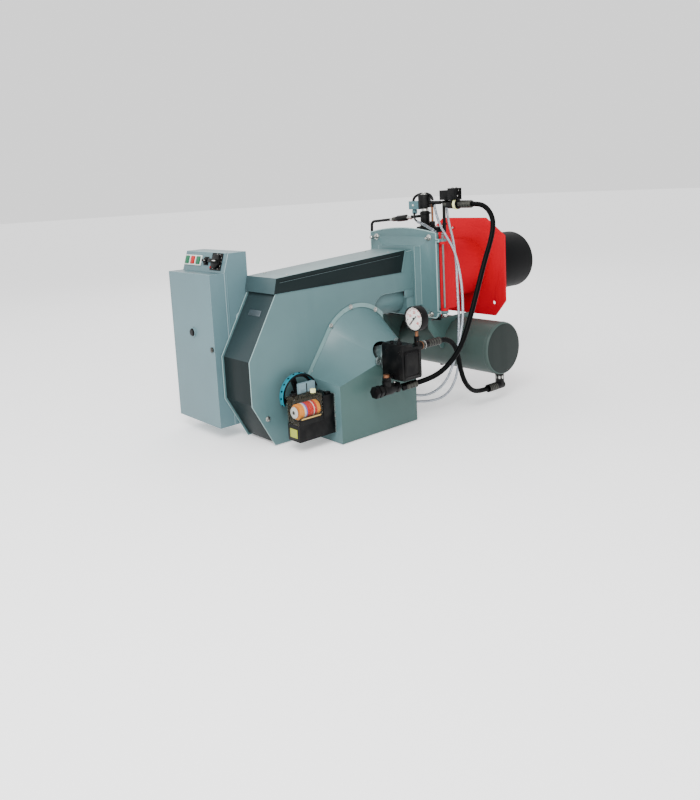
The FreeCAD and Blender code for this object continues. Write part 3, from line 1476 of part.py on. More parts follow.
def make_cabinet():
    body = piece("cabinet_box")
    side = polygon([
        ("-cabinet_front", "-cabinet_bottom"),
        ("-cabinet_right", "-cabinet_bottom"),
        ("-cabinet_right", "cabinet_top"),
        ("-cabinet_front + (cabinet_top - cabinet_sill) * tan(console_lean)", "cabinet_top"),
        ("-cabinet_front", "cabinet_sill"),
    ])
    pad(body, "XZ", [side], "cabinet_near", "cabinet_far")
    chamber = rectangle("cabinet_near + cabinet_wall", "-(cabinet_bottom - cabinet_wall)",
                        "cabinet_far - cabinet_wall", "cabinet_sill - cabinet_wall")
    pocket(body, "YZ", [chamber], "-cabinet_front", "-(cabinet_right + cabinet_wall)")
    spots = [circle("-spacer_x", height, "spacer_radius") for height in ("-spacer_high", "-spacer_low")]
    pad(body, "XZ", spots, "housing_half", "cabinet_near")

    body = piece("cabinet_door")
    front = "-door_face"
    back = "-(cabinet_front + door_gap)"
    pad(body, "YZ", [rectangle("cabinet_near", "-cabinet_bottom", "cabinet_far", "cabinet_sill")], front,
        back)
    inside = rectangle("cabinet_near + door_wall", "-(cabinet_bottom - door_wall)",
                       "cabinet_far - door_wall", "cabinet_sill - door_wall")
    pocket(body, "YZ", [inside], f"{front} + door_wall", back)
    holes = [circle("button_y", "-button_z", "button_radius + seat_gap"),
             circle("lock_y", "-lock_z", "lock_radius + run_clear")]
    pocket(body, "YZ", holes, front, f"{front} + door_wall")
    ring = [circle("button_y", "-button_z", "button_ring"),
        circle("button_y", "-button_z", "button_radius + seat_gap")]
    pad(body, "YZ", ring, f"{front} - button_ring_height", front)
    for edge in KNUCKLES:
        pad(body, "XY", [circle(*HINGE_AXIS, "knuckle_radius")], edge, f"{edge} + knuckle_length")
        pad(body, "XY", [rectangle(f"{HINGE_AXIS[0]} - knuckle_radius", "cabinet_far - door_wall",
                                   HINGE_AXIS[0], HINGE_AXIS[1])], edge, f"{edge} + knuckle_length")
    pocket(body, "XY", [circle(*HINGE_AXIS, "knuckle_pin + run_clear")], "-cabinet_bottom", "cabinet_sill")

    body = piece("cabinet_hinges")
    for edge in KNUCKLES:
        pad(body, "XY", [circle(*HINGE_AXIS, "knuckle_radius")], f"{edge} - knuckle_length - door_gap",
            f"{edge} - door_gap")
        pad(body, "XY", [circle(*HINGE_AXIS, "knuckle_pin")], f"{edge} - door_gap",
            f"{edge} + knuckle_length")
        leaf = rectangle(HINGE_AXIS[0], "cabinet_far", f"{HINGE_AXIS[0]} + leaf_width", HINGE_AXIS[1])
        pad(body, "XY", [leaf], f"{edge} - knuckle_length - door_gap", f"{edge} - door_gap")

    body = piece("reset_button")
    pad(body, "YZ", [circle("button_y", "-button_z", "button_radius")], f"{front} - button_out",
        f"{front} + door_wall")

    body = piece("door_lock")
    pad(body, "YZ", [circle("lock_y", "-lock_z", "lock_radius")], f"{front} - lock_out",
        f"{front} + door_wall * 2")
    slot = rectangle("lock_y - lock_radius", "-lock_z - lock_slot / 2", "lock_y + lock_radius",
        "-lock_z + lock_slot / 2")
    pocket(body, "YZ", [slot], f"{front} - lock_out", f"{front} - lock_out / 2")

    body = piece("console_lamps")
    frames = [rectangle("-lamp_half", f"{number_of} * lamp_pitch - lamp_half", "lamp_half",
                        f"{number_of} * lamp_pitch + lamp_half") for number_of in range(3)]
    pad(body, "XY", frames, "0", "lamp_out")
    on_console(body, "lamp_first")

    body = piece("selector_knob")
    pad(body, "XY", [circle("0", "0", "selector_radius")], "seat_gap", "selector_out")
    grip = rectangle("-selector_radius", "-grip_half / 2", "selector_radius", "grip_half / 2")
    pad(body, "XY", [grip], "selector_out", "selector_out + grip_half")
    on_console(body, "selector_y")

    body = piece("main_switch")
    pad(body, "XY", [circle("0", "0", "main_radius")], "seat_gap", "main_out")
    pad(body, "XY", [rectangle("-main_radius", "-grip_half", "main_radius", "grip_half")], "main_out",
        "main_out + grip_out")
    on_console(body, "main_y")


HINGE_AXIS = ("-(cabinet_front + door_gap)", "cabinet_far + hinge_out")
KNUCKLES = ("-cabinet_bottom + knuckle_inset", "cabinet_sill - knuckle_inset - knuckle_length")


for make in (
    make_mounting_plate, make_blast_tube, make_windbox_frame, make_combustion_head,
    make_hinge, make_burner_flange, make_seal, make_clamp_screws,
    make_side_plates, make_wrapper, make_outlet_duct, make_top_cover, make_hood, make_damper,
    make_fan, make_motor, make_pump_bracket, make_pump, make_gauge, make_outlet_valve,
    make_servo, make_cam_sector, make_preheater, make_valve_group,
    make_hoses, make_conduit_glands, make_feed_ferrule, make_cabinet,
):
    make()

document.recompute()
faults = [item.Name for item in document.Objects if set(item.State) & {"Invalid", "Error"}]
faults += [item.Label for item in PIECES if item.Shape.isNull() or not item.Shape.isValid()]
if faults:
    raise RuntimeError(f"failed: {faults}")

os.makedirs("parts", exist_ok=True)
for item in PIECES:
    item.Shape.exportStep(os.path.join("parts", f"{item.Label}.step"))
print(len(PIECES), "pieces")
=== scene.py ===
"""Heavy oil burner with preheater, air servo motor and switch cabinet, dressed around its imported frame."""

import json
import logging
import math
from collections.abc import Callable, Iterable, Iterator
from contextlib import contextmanager
from dataclasses import dataclass
from enum import Enum

import bmesh
import bpy
from mathutils import Matrix, Vector

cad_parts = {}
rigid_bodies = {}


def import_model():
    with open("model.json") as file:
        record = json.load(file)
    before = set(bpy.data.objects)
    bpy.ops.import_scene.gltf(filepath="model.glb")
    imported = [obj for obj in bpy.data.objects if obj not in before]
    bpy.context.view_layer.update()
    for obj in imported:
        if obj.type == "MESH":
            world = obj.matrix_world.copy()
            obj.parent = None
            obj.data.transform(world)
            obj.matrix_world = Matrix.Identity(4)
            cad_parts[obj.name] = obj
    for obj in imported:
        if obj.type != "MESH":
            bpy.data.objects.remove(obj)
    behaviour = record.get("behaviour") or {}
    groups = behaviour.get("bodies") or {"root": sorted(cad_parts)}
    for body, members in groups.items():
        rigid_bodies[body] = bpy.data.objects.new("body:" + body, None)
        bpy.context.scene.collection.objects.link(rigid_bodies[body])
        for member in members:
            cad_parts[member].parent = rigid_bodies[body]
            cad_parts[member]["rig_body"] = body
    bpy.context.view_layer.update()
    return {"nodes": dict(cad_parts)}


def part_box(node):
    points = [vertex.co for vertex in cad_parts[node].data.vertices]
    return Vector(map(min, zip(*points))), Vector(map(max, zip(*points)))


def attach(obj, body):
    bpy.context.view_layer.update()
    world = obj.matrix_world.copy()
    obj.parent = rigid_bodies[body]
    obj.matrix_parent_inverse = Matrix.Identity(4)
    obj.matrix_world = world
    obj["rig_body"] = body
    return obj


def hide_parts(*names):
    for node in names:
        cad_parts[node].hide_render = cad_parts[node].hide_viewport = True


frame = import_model()

log = logging.getLogger("burner")

Point = tuple[float, float, float]
Colour = tuple[float, float, float]
Item = bpy.types.Object

MM = 0.001
UP = (0.0, 0.0, 1.0)
DOWN = (0.0, 0.0, -1.0)
NEAR = (0.0, -1.0, 0.0)
FAR = (0.0, 1.0, 0.0)
BACK = (-1.0, 0.0, 0.0)
AHEAD = (1.0, 0.0, 0.0)
WHITE_LIGHT = (1.0, 1.0, 1.0, 1.0)

# An edge that turns by more degrees stays sharp.
CREASE = 40.0
# A face looks one way where the cosine of its angle to that way is above this.
FACING = 0.9
# Points that lie closer, in metres, become one point, and faces that turn by less become one face.
WELD = 0.00002
FLAT = math.radians(0.6)


def linear(*screen: int) -> Colour:
    """Turns a screen colour, three numbers from 0 to 255, into a linear one."""
    return tuple((value / 255) ** 2.2 for value in screen)


def shade(colour: Colour, share: float = 1.0) -> tuple[float, float, float, float]:
    """Makes a linear colour darker or lighter by a share and adds its alpha."""
    return (*(min(1.0, part * share) for part in colour), 1.0)


class Value:
    """A number that a node gives, which Python's operators combine through Math nodes."""

    def __init__(self, nodes: "Nodes", socket: bpy.types.NodeSocket) -> None:
        """Keeps the tree and the socket."""
        self.nodes = nodes
        self.socket = socket

    def _math(self, operation: str, *values: "Value | float") -> "Value":
        """Adds one Math node on these values."""
        node = self.nodes.make("ShaderNodeMath", {"operation": operation}, dict(enumerate(values)))
        return Value(self.nodes, node.outputs[0])

    def __add__(self, other: "Value | float") -> "Value":
        """Adds."""
        return self._math("ADD", self, other)

    __radd__ = __add__

    def __mul__(self, other: "Value | float") -> "Value":
        """Multiplies."""
        return self._math("MULTIPLY", self, other)

    __rmul__ = __mul__

    def __sub__(self, other: "Value | float") -> "Value":
        """Takes away."""
        return self._math("SUBTRACT", self, other)

    def __rsub__(self, other: "Value | float") -> "Value":
        """Takes this value away from a number."""
        return self._math("SUBTRACT", other, self)

    def above(self, edge: float, soft: float) -> "Value":
        """Gives 0 below the edge and 1 above it, with a soft step between.

        Args:
            edge: The middle of the step.
            soft: The width of the step.

        Returns:
            A mask from 0 to 1.
        """
        node = self.nodes.make("ShaderNodeMapRange", {"interpolation_type": "SMOOTHSTEP"},
                               {0: self, 1: edge - soft / 2, 2: edge + soft / 2})
        return Value(self.nodes, node.outputs[0])


class Nodes:
    """The node tree of one material."""

    def __init__(self, name: str) -> None:
        """Starts a material with its principled shader and its object coordinates.

        Args:
            name: The material's name.
        """
        self.material = bpy.data.materials.new(name)
        self.material.use_nodes = True
        self.tree = self.material.node_tree
        self.shader = self.tree.nodes["Principled BSDF"]
        self.place = self.make("ShaderNodeTexCoord").outputs["Object"]

    def make(self, kind: str, settings: dict | None = None, inputs: dict | None = None) -> bpy.types.Node:
        """Adds a node.

        Args:
            kind: The node's type.
            settings: Its own settings, set first.
            inputs: Values or links of its sockets, by name or place.

        Returns:
            The node.
        """
        node = self.tree.nodes.new(kind)
        for key, value in (settings or {}).items():
            setattr(node, key, value)
        for key, value in (inputs or {}).items():
            self.feed(node.inputs[key], value)
        return node

    def feed(self, socket: bpy.types.NodeSocket, value: object) -> None:
        """Links or sets one socket.

        Args:
            socket: The socket.
            value: A value, a link or a plain number, colour or vector.
        """
        if isinstance(value, Value):
            value = value.socket
        if isinstance(value, bpy.types.NodeSocket):
            self.tree.links.new(value, socket)
        else:
            socket.default_value = value

    def stretched(self, scale: Point) -> bpy.types.NodeSocket:
        """Gives the object coordinates stretched by a scale along each axis."""
        return self.make("ShaderNodeMapping", {}, {"Vector": self.place, "Scale": scale}).outputs[0]

    def noise(self, size: float, detail: float = 2.0, at: bpy.types.NodeSocket | None = None) -> Value:
        """Gives a noise from 0 to 1.

        Args:
            size: The size of its features in metres.
            detail: The number of finer layers.
            at: The coordinates, or the object's own.

        Returns:
            The noise.
        """
        node = self.make("ShaderNodeTexNoise", {},
                         {"Vector": at or self.place, "Scale": 1 / size, "Detail": detail})
        return Value(self, node.outputs[0])

    def mix(self, mask: Value | float, first: object, second: object) -> bpy.types.NodeSocket:
        """Mixes two colours by a mask."""
        return self.make("ShaderNodeMix", {"data_type": "RGBA"}, {0: mask, 6: first, 7: second}).outputs[2]

    def bump(self, height: Value, depth: float) -> None:
        """Raises the surface by a height from 0 to 1, where 1 stands for a depth in metres."""
        node = self.make("ShaderNodeBump", {}, {"Height": height, "Distance": depth, "Strength": 1.0})
        self.feed(self.shader.inputs["Normal"], node.outputs[0])

    def set(self, **sockets: object) -> None:
        """Sets the shader's sockets, named with underscores for spaces."""
        for name, value in sockets.items():
            self.feed(self.shader.inputs[name.replace("_", " ")], value)


@dataclass(frozen=True)
class Paint:
    """Baked enamel on sheet steel or castings.

    Args:
        slot: The record's slot.
        colour: Linear colour.
        roughness: Mean roughness.
        grime: How far dust and oil dull it, from 0 to 1.
        coat: Weight of the clear top layer.
        specular: How strongly it mirrors.
        peel: Depth of the orange peel in metres.
    """

    slot: str
    colour: Colour
    roughness: float = 0.38
    grime: float = 0.3
    coat: float = 0.06
    specular: float = 0.32
    peel: float = 0.00012

    def material(self) -> bpy.types.Material:
        """Builds the material.

        Returns:
            The material.
        """
        nodes = Nodes(f"{self.slot}_enamel")
        cloud = nodes.noise(0.18, 3.0)
        speck = nodes.noise(0.006, 3.0)
        streak = nodes.noise(0.05, 4.0, nodes.stretched((1.0, 1.0, 0.16)))
        soil = streak.above(0.62, 0.25) * self.grime
        body = nodes.mix(cloud.above(0.5, 0.6), shade(self.colour, 0.93), shade(self.colour, 1.06))
        dusty = nodes.mix(soil * 0.35, body, shade(self.colour, 0.6))
        nodes.set(Base_Color=nodes.mix(speck.above(0.72, 0.1) * 0.12, dusty, shade(self.colour, 1.5)),
                  Roughness=cloud * 0.08 + soil * 0.18 + (self.roughness - 0.04),
                  Coat_Weight=self.coat, Coat_Roughness=0.2, Specular_IOR_Level=self.specular)
        nodes.bump(nodes.noise(0.0045, 1.5) * 0.8 + nodes.noise(0.022, 1.0) * 0.6, self.peel)
        return nodes.material


@dataclass(frozen=True)
class Metal:
    """Bare or plated metal, with fine turning or brushing marks and dull patches.

    Args:
        slot: The record's slot.
        colour: Linear colour.
        roughness: Mean roughness.
        tarnish: The dull colour.
        patches: How much of it is dull, from 0 to 1.
        grain: Depth of the grain in metres.
    """

    slot: str
    colour: Colour
    roughness: float
    tarnish: Colour
    patches: float
    grain: float = 0.00004

    def material(self) -> bpy.types.Material:
        """Builds the material.

        Returns:
            The material.
        """
        nodes = Nodes(f"{self.slot}_metal")
        brush = nodes.noise(0.0016, 2.0, nodes.stretched((1.0, 1.0, 6.0)))
        dull = nodes.noise(0.012, 4.0).above(0.6, 0.3) * self.patches
        nodes.set(Base_Color=nodes.mix(dull, shade(self.colour), shade(self.tarnish)),
                  Metallic=1.0 - dull * 0.5,
                  Roughness=dull * 0.3 + brush * 0.14 + (self.roughness - 0.07))
        nodes.bump(brush, self.grain)
        return nodes.material


@dataclass(frozen=True)
class Moulded:
    """Moulded plastic or rubber with a fine spark grain.

    Args:
        slot: The record's slot.
        colour: Linear colour.
        roughness: Mean roughness.
        specular: How strongly it mirrors.
        dust: How much pale dust lies on it, from 0 to 1.
        grain: Depth of the grain in metres.
        alpha: Opacity, below 1 for a see-through cover.
    """

    slot: str
    colour: Colour
    roughness: float
    specular: float = 0.2
    dust: float = 0.15
    grain: float = 0.00005
    alpha: float = 1.0

    def material(self) -> bpy.types.Material:
        """Builds the material.

        Returns:
            The material.
        """
        nodes = Nodes(f"{self.slot}_moulding")
        dust = nodes.noise(0.03, 4.0).above(0.56, 0.35) * self.dust
        nodes.set(Base_Color=nodes.mix(dust * 0.3, shade(self.colour), (0.35, 0.34, 0.31, 1.0)),
                  Roughness=dust * 0.3 + nodes.noise(0.004) * 0.06 + (self.roughness - 0.03),
                  Alpha=self.alpha, Specular_IOR_Level=self.specular)
        nodes.bump(nodes.noise(0.0011, 2.0), self.grain)
        return nodes.material


@dataclass(frozen=True)
class Flex:
    """The outside of a hose or a conduit, with rings or a wrap that follow its length.

    Args:
        slot: The record's slot.
        colour: Linear colour.
        roughness: Mean roughness.
        metallic: 1 for a metal conduit.
        rings: Rings or wraps along the whole length.
        depth: Depth of the rings in metres.
    """

    slot: str
    colour: Colour
    roughness: float
    metallic: float
    rings: float
    depth: float

    def material(self) -> bpy.types.Material:
        """Builds the material.

        Returns:
            The material.
        """
        nodes = Nodes(f"{self.slot}_flex")
        place = nodes.make("ShaderNodeTexCoord").outputs["UV"]
        wave = nodes.make("ShaderNodeTexWave", {"wave_type": "BANDS", "bands_direction": "X"},
                          {"Vector": place, "Scale": self.rings * 0.314, "Distortion": 0.4})
        ring = Value(nodes, wave.outputs["Fac"])
        patch = nodes.noise(0.02, 4.0)
        nodes.set(Base_Color=nodes.mix(ring * 0.5 + patch * 0.3, shade(self.colour, 0.72),
                                       shade(self.colour, 1.2)),
                  Metallic=self.metallic, Roughness=patch * 0.15 + (self.roughness - 0.07),
                  Specular_IOR_Level=0.06)
        nodes.bump(ring, self.depth)
        return nodes.material


class Skin(Enum):
    """Every finish on the burner, by name."""

    RED = Paint("red_paint", (0.46, 0.0002, 0.011), 0.6, 0.1, 0.0, 0.05)
    TUBE_BLACK = Paint("heat_black", linear(11, 12, 14), 0.55, 0.3, 0.0, 0.07)
    GREY = Paint("grey_paint", (0.070, 0.134, 0.141), 0.4)
    # Painted highlight: a lighter copy of the grey paint, for broken edges, rims and creases that catch
    # light.
    EDGE = Paint("grey_paint", (0.26, 0.38, 0.38), 0.36, 0.1)
    LIP = Paint("grey_paint", (0.15, 0.25, 0.25), 0.4, 0.5)
    # Painted shade: a darker copy of the grey paint, for the hood's near face and the tank saddles, which lie
    # in shade.
    SHADE = Paint("grey_paint", (0.046, 0.090, 0.084), 0.44, specular=0.2)
    DARK = Paint("dark_paint", (0.0055, 0.0105, 0.0112), 0.48, specular=0.08)
    # Painted light: a lighter copy of the dark paint, for the wrapper's upper facet, which faces the light.
    DARK_HIGH = Paint("dark_paint", (0.016, 0.029, 0.032), 0.42, specular=0.15)
    # Painted light: a lighter copy of the dark paint, for the cover's rear cap, which faces the light.
    CAP = Paint("dark_paint", (0.034, 0.062, 0.068), 0.4, specular=0.22)
    # Painted highlight: a lighter copy of the dark paint, for the step line on the cover's skirts.
    DARK_EDGE = Paint("dark_paint", (0.05, 0.08, 0.085), 0.4, 0.1)
    TANK = Paint("grey_paint", (0.042, 0.064, 0.058), 0.42, 0.4, specular=0.15)
    # Painted shade: a darker copy of the tank paint, for the tank's near end, which gets less light.
    TANK_END = Paint("grey_paint", (0.012, 0.018, 0.0165), 0.46, 0.4, specular=0.1)
    CABINET = Paint("cabinet_paint", (0.086, 0.155, 0.173), 0.42, 0.12)
    # Painted highlight: a lighter copy of the cabinet paint, for the broken edges of box and door.
    CABINET_EDGE = Paint("cabinet_paint", (0.32, 0.42, 0.44), 0.36, 0.1)
    STEEL_BLACK = Moulded("black_steel", linear(9, 9, 11), 0.42, 0.12, 0.06, 0.00006)
    PHOSPHATE = Metal("black_steel", linear(74, 74, 70), 0.36, (0.012, 0.012, 0.012), 0.8)
    STEEL = Metal("bare_steel", linear(180, 180, 176), 0.26, (0.22, 0.2, 0.17), 0.3)
    DULL_STEEL = Metal("bare_steel", linear(120, 124, 122), 0.42, (0.12, 0.11, 0.1), 0.6)
    STAINLESS = Metal("stainless", linear(190, 190, 188), 0.28, (0.35, 0.3, 0.24), 0.2)
    ALUMINIUM = Metal("aluminium_cast", linear(120, 134, 134), 0.48, (0.14, 0.16, 0.16), 0.5, 0.00012)
    PLATE = Metal("blank_plate", linear(104, 112, 117), 0.42, (0.12, 0.13, 0.13), 0.3)
    COPPER = Metal("copper", linear(134, 92, 68), 0.36, (0.06, 0.034, 0.022), 0.7)
    SEAL = Moulded("seal_black", linear(9, 9, 10), 0.7, 0.08, 0.12, 0.0002)
    BLACK = Moulded("black_plastic", linear(9, 9, 11), 0.38, 0.13, 0.06)
    CLEAR = Moulded("clear_plastic", linear(86, 84, 72), 0.12, 0.3, 0.1, 0.00001, 0.13)
    GLASS = Moulded("gauge_glass", linear(235, 240, 240), 0.05, 0.2, 0.0, 0.000005, 0.05)
    TEAL = Moulded("teal_plastic", linear(20, 110, 126), 0.42, 0.3)
    DIAL = Moulded("dial_white", linear(214, 212, 208), 0.5)
    INK = Moulded("dial_ink", linear(12, 12, 12), 0.6, 0.1)
    RED_INK = Moulded("dial_ink", linear(176, 20, 20), 0.6, 0.1)
    WHITE = Moulded("cam_plastic", linear(206, 206, 200), 0.45)
    FRAME_WHITE = Moulded("cream_plastic", linear(196, 204, 200), 0.45)
    ORANGE = Moulded("cam_plastic", linear(232, 136, 14), 0.4)
    CAM_RED = Moulded("cam_plastic", linear(190, 0, 0), 0.4, 0.12)
    VIOLET = Moulded("cam_plastic", linear(90, 90, 190), 0.4)
    TAN = Moulded("cream_plastic", linear(176, 144, 84), 0.5)
    LENS_GREEN = Moulded("lamp_plastic", linear(2, 92, 62), 0.3, 0.25)
    LENS_RED = Moulded("lamp_plastic", linear(166, 4, 12), 0.3, 0.25)
    PLUG = Moulded("teal_plastic", linear(66, 98, 104), 0.4, 0.25)
    GEAR = Moulded("teal_plastic", linear(104, 128, 136), 0.45, 0.25)
    PALE = Moulded("cream_plastic", linear(222, 222, 160), 0.5)
    OLIVE = Moulded("cream_plastic", linear(146, 154, 58), 0.5)
    HOSE = Flex("hose_rubber", linear(6, 8, 9), 0.44, 0.0, 200, 0.00015)
    CONDUIT = Flex("conduit_grey", linear(168, 174, 182), 0.28, 0.9, 240, 0.0007)


class Wardrobe:
    """Builds each finish once and hands out its material."""

    made: dict[Skin, bpy.types.Material] = {}

    @classmethod
    def get(cls, skin: Skin) -> bpy.types.Material:
        """Gives the material of a finish.

        Args:
            skin: The finish.

        Returns:
            Its material.
        """
        if skin not in cls.made:
            cls.made[skin] = skin.value.material()
        return cls.made[skin]


def alone(item: Item) -> None:
    """Makes one object the only selected and active one.

    Args:
        item: The object.
    """
    bpy.ops.object.select_all(action="DESELECT")
    item.select_set(True)
    bpy.context.view_layer.objects.active = item


def drop(*items: Item) -> None:
    """Removes pieces that have been copied or aren't wanted.

    Args:
        items: The pieces.
    """
    for item in items:
        bpy.data.objects.remove(item)


@contextmanager
def editing(item: Item, mode: str = "VERT", test: Callable[..., bool] | None = None) -> Iterator[None]:
    """Opens an object in edit mode with everything selected, or only the parts that pass a test.

    Args:
        item: The object.
        mode: VERT, EDGE or FACE.
        test: Says whether a vertex, an edge or a face is selected.

    Yields:
        Nothing, while edit mode lasts.
    """
    alone(item)
    bpy.ops.object.mode_set(mode="EDIT")
    bpy.ops.mesh.select_mode(type=mode)
    bpy.ops.mesh.select_all(action="DESELECT" if test else "SELECT")
    if test:
        mesh = bmesh.from_edit_mesh(item.data)
        for part in getattr(mesh, f"{mode.lower()}s"):
            if test(part):
                part.select_set(True)
        mesh.select_flush_mode()
        bmesh.update_edit_mesh(item.data)
    yield
    bpy.ops.object.mode_set(mode="OBJECT")


def bevelled(item: Item, width: float, segments: int = 2, angle: float = 35.0) -> None:
    """Breaks the sharp edges of an object.

    Args:
        item: The object.
        width: Width of the broken edge in metres.
        segments: Steps across it.
        angle: Edges that turn by less stay as they are, in degrees.
    """
    modifier = item.modifiers.new("broken_edges", "BEVEL")
    modifier.width = width
    modifier.segments = segments
    modifier.limit_method = "ANGLE"
    modifier.angle_limit = math.radians(angle)
    modifier.use_clamp_overlap = True
    modifier.miter_outer = "MITER_ARC"
    alone(item)
    bpy.ops.object.modifier_apply(modifier=modifier.name)


def smooth(item: Item, angle: float = 32.0) -> None:
    """Shades an object smooth, but for edges that turn by more than the angle in degrees."""
    alone(item)
    bpy.ops.object.shade_smooth_by_angle(angle=math.radians(angle), keep_sharp_edges=False)


def settle(item: Item, name: str, body: str, skin: Skin, stands_for: Iterable[str] = ()) -> None:
    """Names, paints and fixes a finished piece to its body.

    Args:
        item: The piece.
        name: Its name.
        body: The body that it moves with.
        skin: Its finish.
        stands_for: The solids that it replaces.
    """
    item.name = name
    item.data.name = name
    alone(item)
    if item.type == "MESH":
        bpy.ops.object.transform_apply(location=True, rotation=True, scale=True)
    item.data.materials.clear()
    item.data.materials.append(Wardrobe.get(skin))
    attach(item, body)
    if stands_for:
        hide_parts(*stands_for)
    log.info("%s rides on %s", name, body)


def body_of(node: str) -> str:
    """Gives the body that a solid moves with."""
    return frame["nodes"][node]["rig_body"]


def copied(node: str, bevel: float, segments: int = 2, angle: float = 35.0) -> Item:
    """Copies a solid as a merged mesh with broken edges and smooth curves.

    Args:
        node: The solid.
        bevel: Width of its broken edges in metres.
        segments: Steps across them.
        angle: Edges that turn by less stay as they are, in degrees.

    Returns:
        The copy, which has no finish yet.
    """
    item = bpy.data.objects.new(node, frame["nodes"][node].data.copy())
    bpy.context.scene.collection.objects.link(item)
    with editing(item):
        bpy.ops.mesh.remove_doubles(threshold=WELD)
        bpy.ops.mesh.dissolve_limited(angle_limit=FLAT)
        bpy.ops.mesh.customdata_custom_splitnormals_clear()
    if bevel:
        bevelled(item, bevel, segments, angle)
    smooth(item)
    return item


def parted(item: Item, test: Callable[..., bool], mode: str = "FACE") -> Item:
    """Separates the faces or edges of a copy that pass a test, so that they become a piece of their own.

    Args:
        item: The copy.
        test: Says whether one is taken.
        mode: FACE or EDGE.

    Returns:
        The new object.
    """
    with editing(item, mode, test):
        bpy.ops.mesh.separate(type="SELECTED")
    return next(other for other in bpy.context.selected_objects if other is not item)


def narrow(face: bmesh.types.BMFace, width: float) -> bool:
    """Says whether a face is a strip of a broken edge, or a piece of one."""
    return face.calc_area() < 0.8 * width * max(edge.calc_length() for edge in face.edges)


def dress(node: str, skin: Skin, bevel: float, segments: int = 2, angle: float = 35.0,
          edge: Skin | None = None, **parts: tuple[Skin, Callable[[Vector, Vector], bool]]) -> None:
    """Gives a solid broken edges, smooth curves and its finish, in a merged copy that stands for it.

    Args:
        node: The solid.
        skin: Its finish.
        bevel: Width of its broken edges in metres.
        segments: Steps across them.
        angle: Edges that turn by less stay as they are, in degrees.
        edge: A lighter finish for the broken edges, a painted highlight where they catch more light.
        parts: Pieces with a finish of their own, by name, each with that finish and a test that
            says from a face's normal and its middle whether the face is one of theirs.
    """
    item = copied(node, bevel, segments, angle)
    # Painted highlight: the narrow strips of the broken edges become a piece of their own in the lighter edge
    # finish.
    if edge:
        rims = parted(item, lambda face: narrow(face, bevel))
        settle(rims, f"{node}_edges", body_of(node), edge)
    pieces = [(parted(item, lambda face: test(face.normal, face.calc_center_median())), name, finish)
              for name, (finish, test) in parts.items()]
    settle(item, f"{node}_finished", body_of(node), skin, [node])
    for piece, name, finish in pieces:
        settle(piece, name, body_of(node), finish)


def beaded(node: str, radius: float, test: Callable[[bmesh.types.BMEdge], bool]) -> Item:
    """Lays a round bead along the edges of a solid that pass a test.

    Args:
        node: The solid.
        radius: The bead's radius in metres.
        test: Says whether an edge is taken.

    Returns:
        The bead.
    """
    item = copied(node, 0.0)
    line = parted(item, test, "EDGE")
    drop(item)
    alone(line)
    bpy.ops.object.convert(target="CURVE")
    line.data.bevel_depth = radius
    line.data.bevel_resolution = 2
    line.data.use_fill_caps = True
    bpy.ops.object.convert(target="MESH")
    return bpy.context.object


def mm(*values: float) -> tuple[float, ...]:
    """Turns millimetres into metres."""
    return tuple(value * MM for value in values)


def circle(radius: float, *angles: float) -> list[tuple[float, float]]:
    """Gives the points of a circle at several angles in degrees."""
    turns = [math.radians(angle) for angle in angles]
    return [(radius * math.cos(turn), radius * math.sin(turn)) for turn in turns]


def turned_to(*axes: Vector) -> Matrix:
    """Gives the turn that brings the x, y and z axes to three directions."""
    return Matrix([[axis[row] for axis in axes] for row in range(3)]).to_4x4()


def placed(item: Item, at: Point, turn: Matrix) -> Item:
    """Turns a piece about the origin and moves it, and keeps its place in its mesh.

    Args:
        item: The piece.
        at: Where its origin goes.
        turn: Its turn.

    Returns:
        The piece.
    """
    item.matrix_world = Matrix.Translation(at) @ turn
    alone(item)
    bpy.ops.object.transform_apply(location=True, rotation=True, scale=True)
    return item


def aim(item: Item, at: Point, along: Point = UP) -> Item:
    """Moves a piece made upright at the origin to a point, with its upright axis along a direction."""
    return placed(item, at, Vector(UP).rotation_difference(Vector(along)).to_matrix().to_4x4())


def turned(item: Item, angle: float) -> Item:
    """Turns a piece about the upright axis at the origin, by an angle in degrees."""
    return placed(item, (0.0, 0.0, 0.0), Matrix.Rotation(math.radians(angle), 4, "Z"))


def face_on(item: Item, at: Point, right: Point, up: Point) -> Item:
    """Moves a piece drawn flat at the origin on to a face, with its x axis to the right and its y up."""
    return placed(item, at, turned_to(Vector(right), Vector(up), Vector(right).cross(Vector(up))))


def join(items: list[Item]) -> Item:
    """Joins pieces into one.

    Args:
        items: The pieces.

    Returns:
        The first one, which now holds them all.
    """
    alone(items[0])
    for item in items:
        item.select_set(True)
    bpy.ops.object.join()
    return items[0]


def doubled(item: Item) -> Item:
    """Copies a piece with its mesh.

    Args:
        item: The piece.

    Returns:
        The copy.
    """
    alone(item)
    bpy.ops.object.duplicate()
    return bpy.context.object


def spread(item: Item, spots: Iterable[Point], along: Point = UP) -> Item:
    """Copies a piece made upright at the origin to several places and joins the copies.

    Args:
        item: The piece, which goes.
        spots: The places.
        along: Where its upright axis points.

    Returns:
        The joined copies.
    """
    copies = [aim(doubled(item), spot, along) for spot in spots]
    drop(item)
    return join(copies)


def disc(radius: float, height: float, sides: int = 32, low: float = 0.0, edge: float = 0.0) -> Item:
    """Makes an upright prism or drum at the origin.

    Args:
        radius: Radius of its corners.
        height: Height.
        sides: Number of sides.
        low: Height of its foot.
        edge: Width of its broken edges.

    Returns:
        The drum.
    """
    bpy.ops.object.select_all(action="DESELECT")
    bpy.ops.mesh.primitive_cylinder_add(vertices=sides, radius=radius, depth=height,
                                        location=(0, 0, low + height / 2))
    item = bpy.context.object
    bpy.ops.object.transform_apply(location=True)
    if edge:
        bevelled(item, edge, 2, 30)
    return item


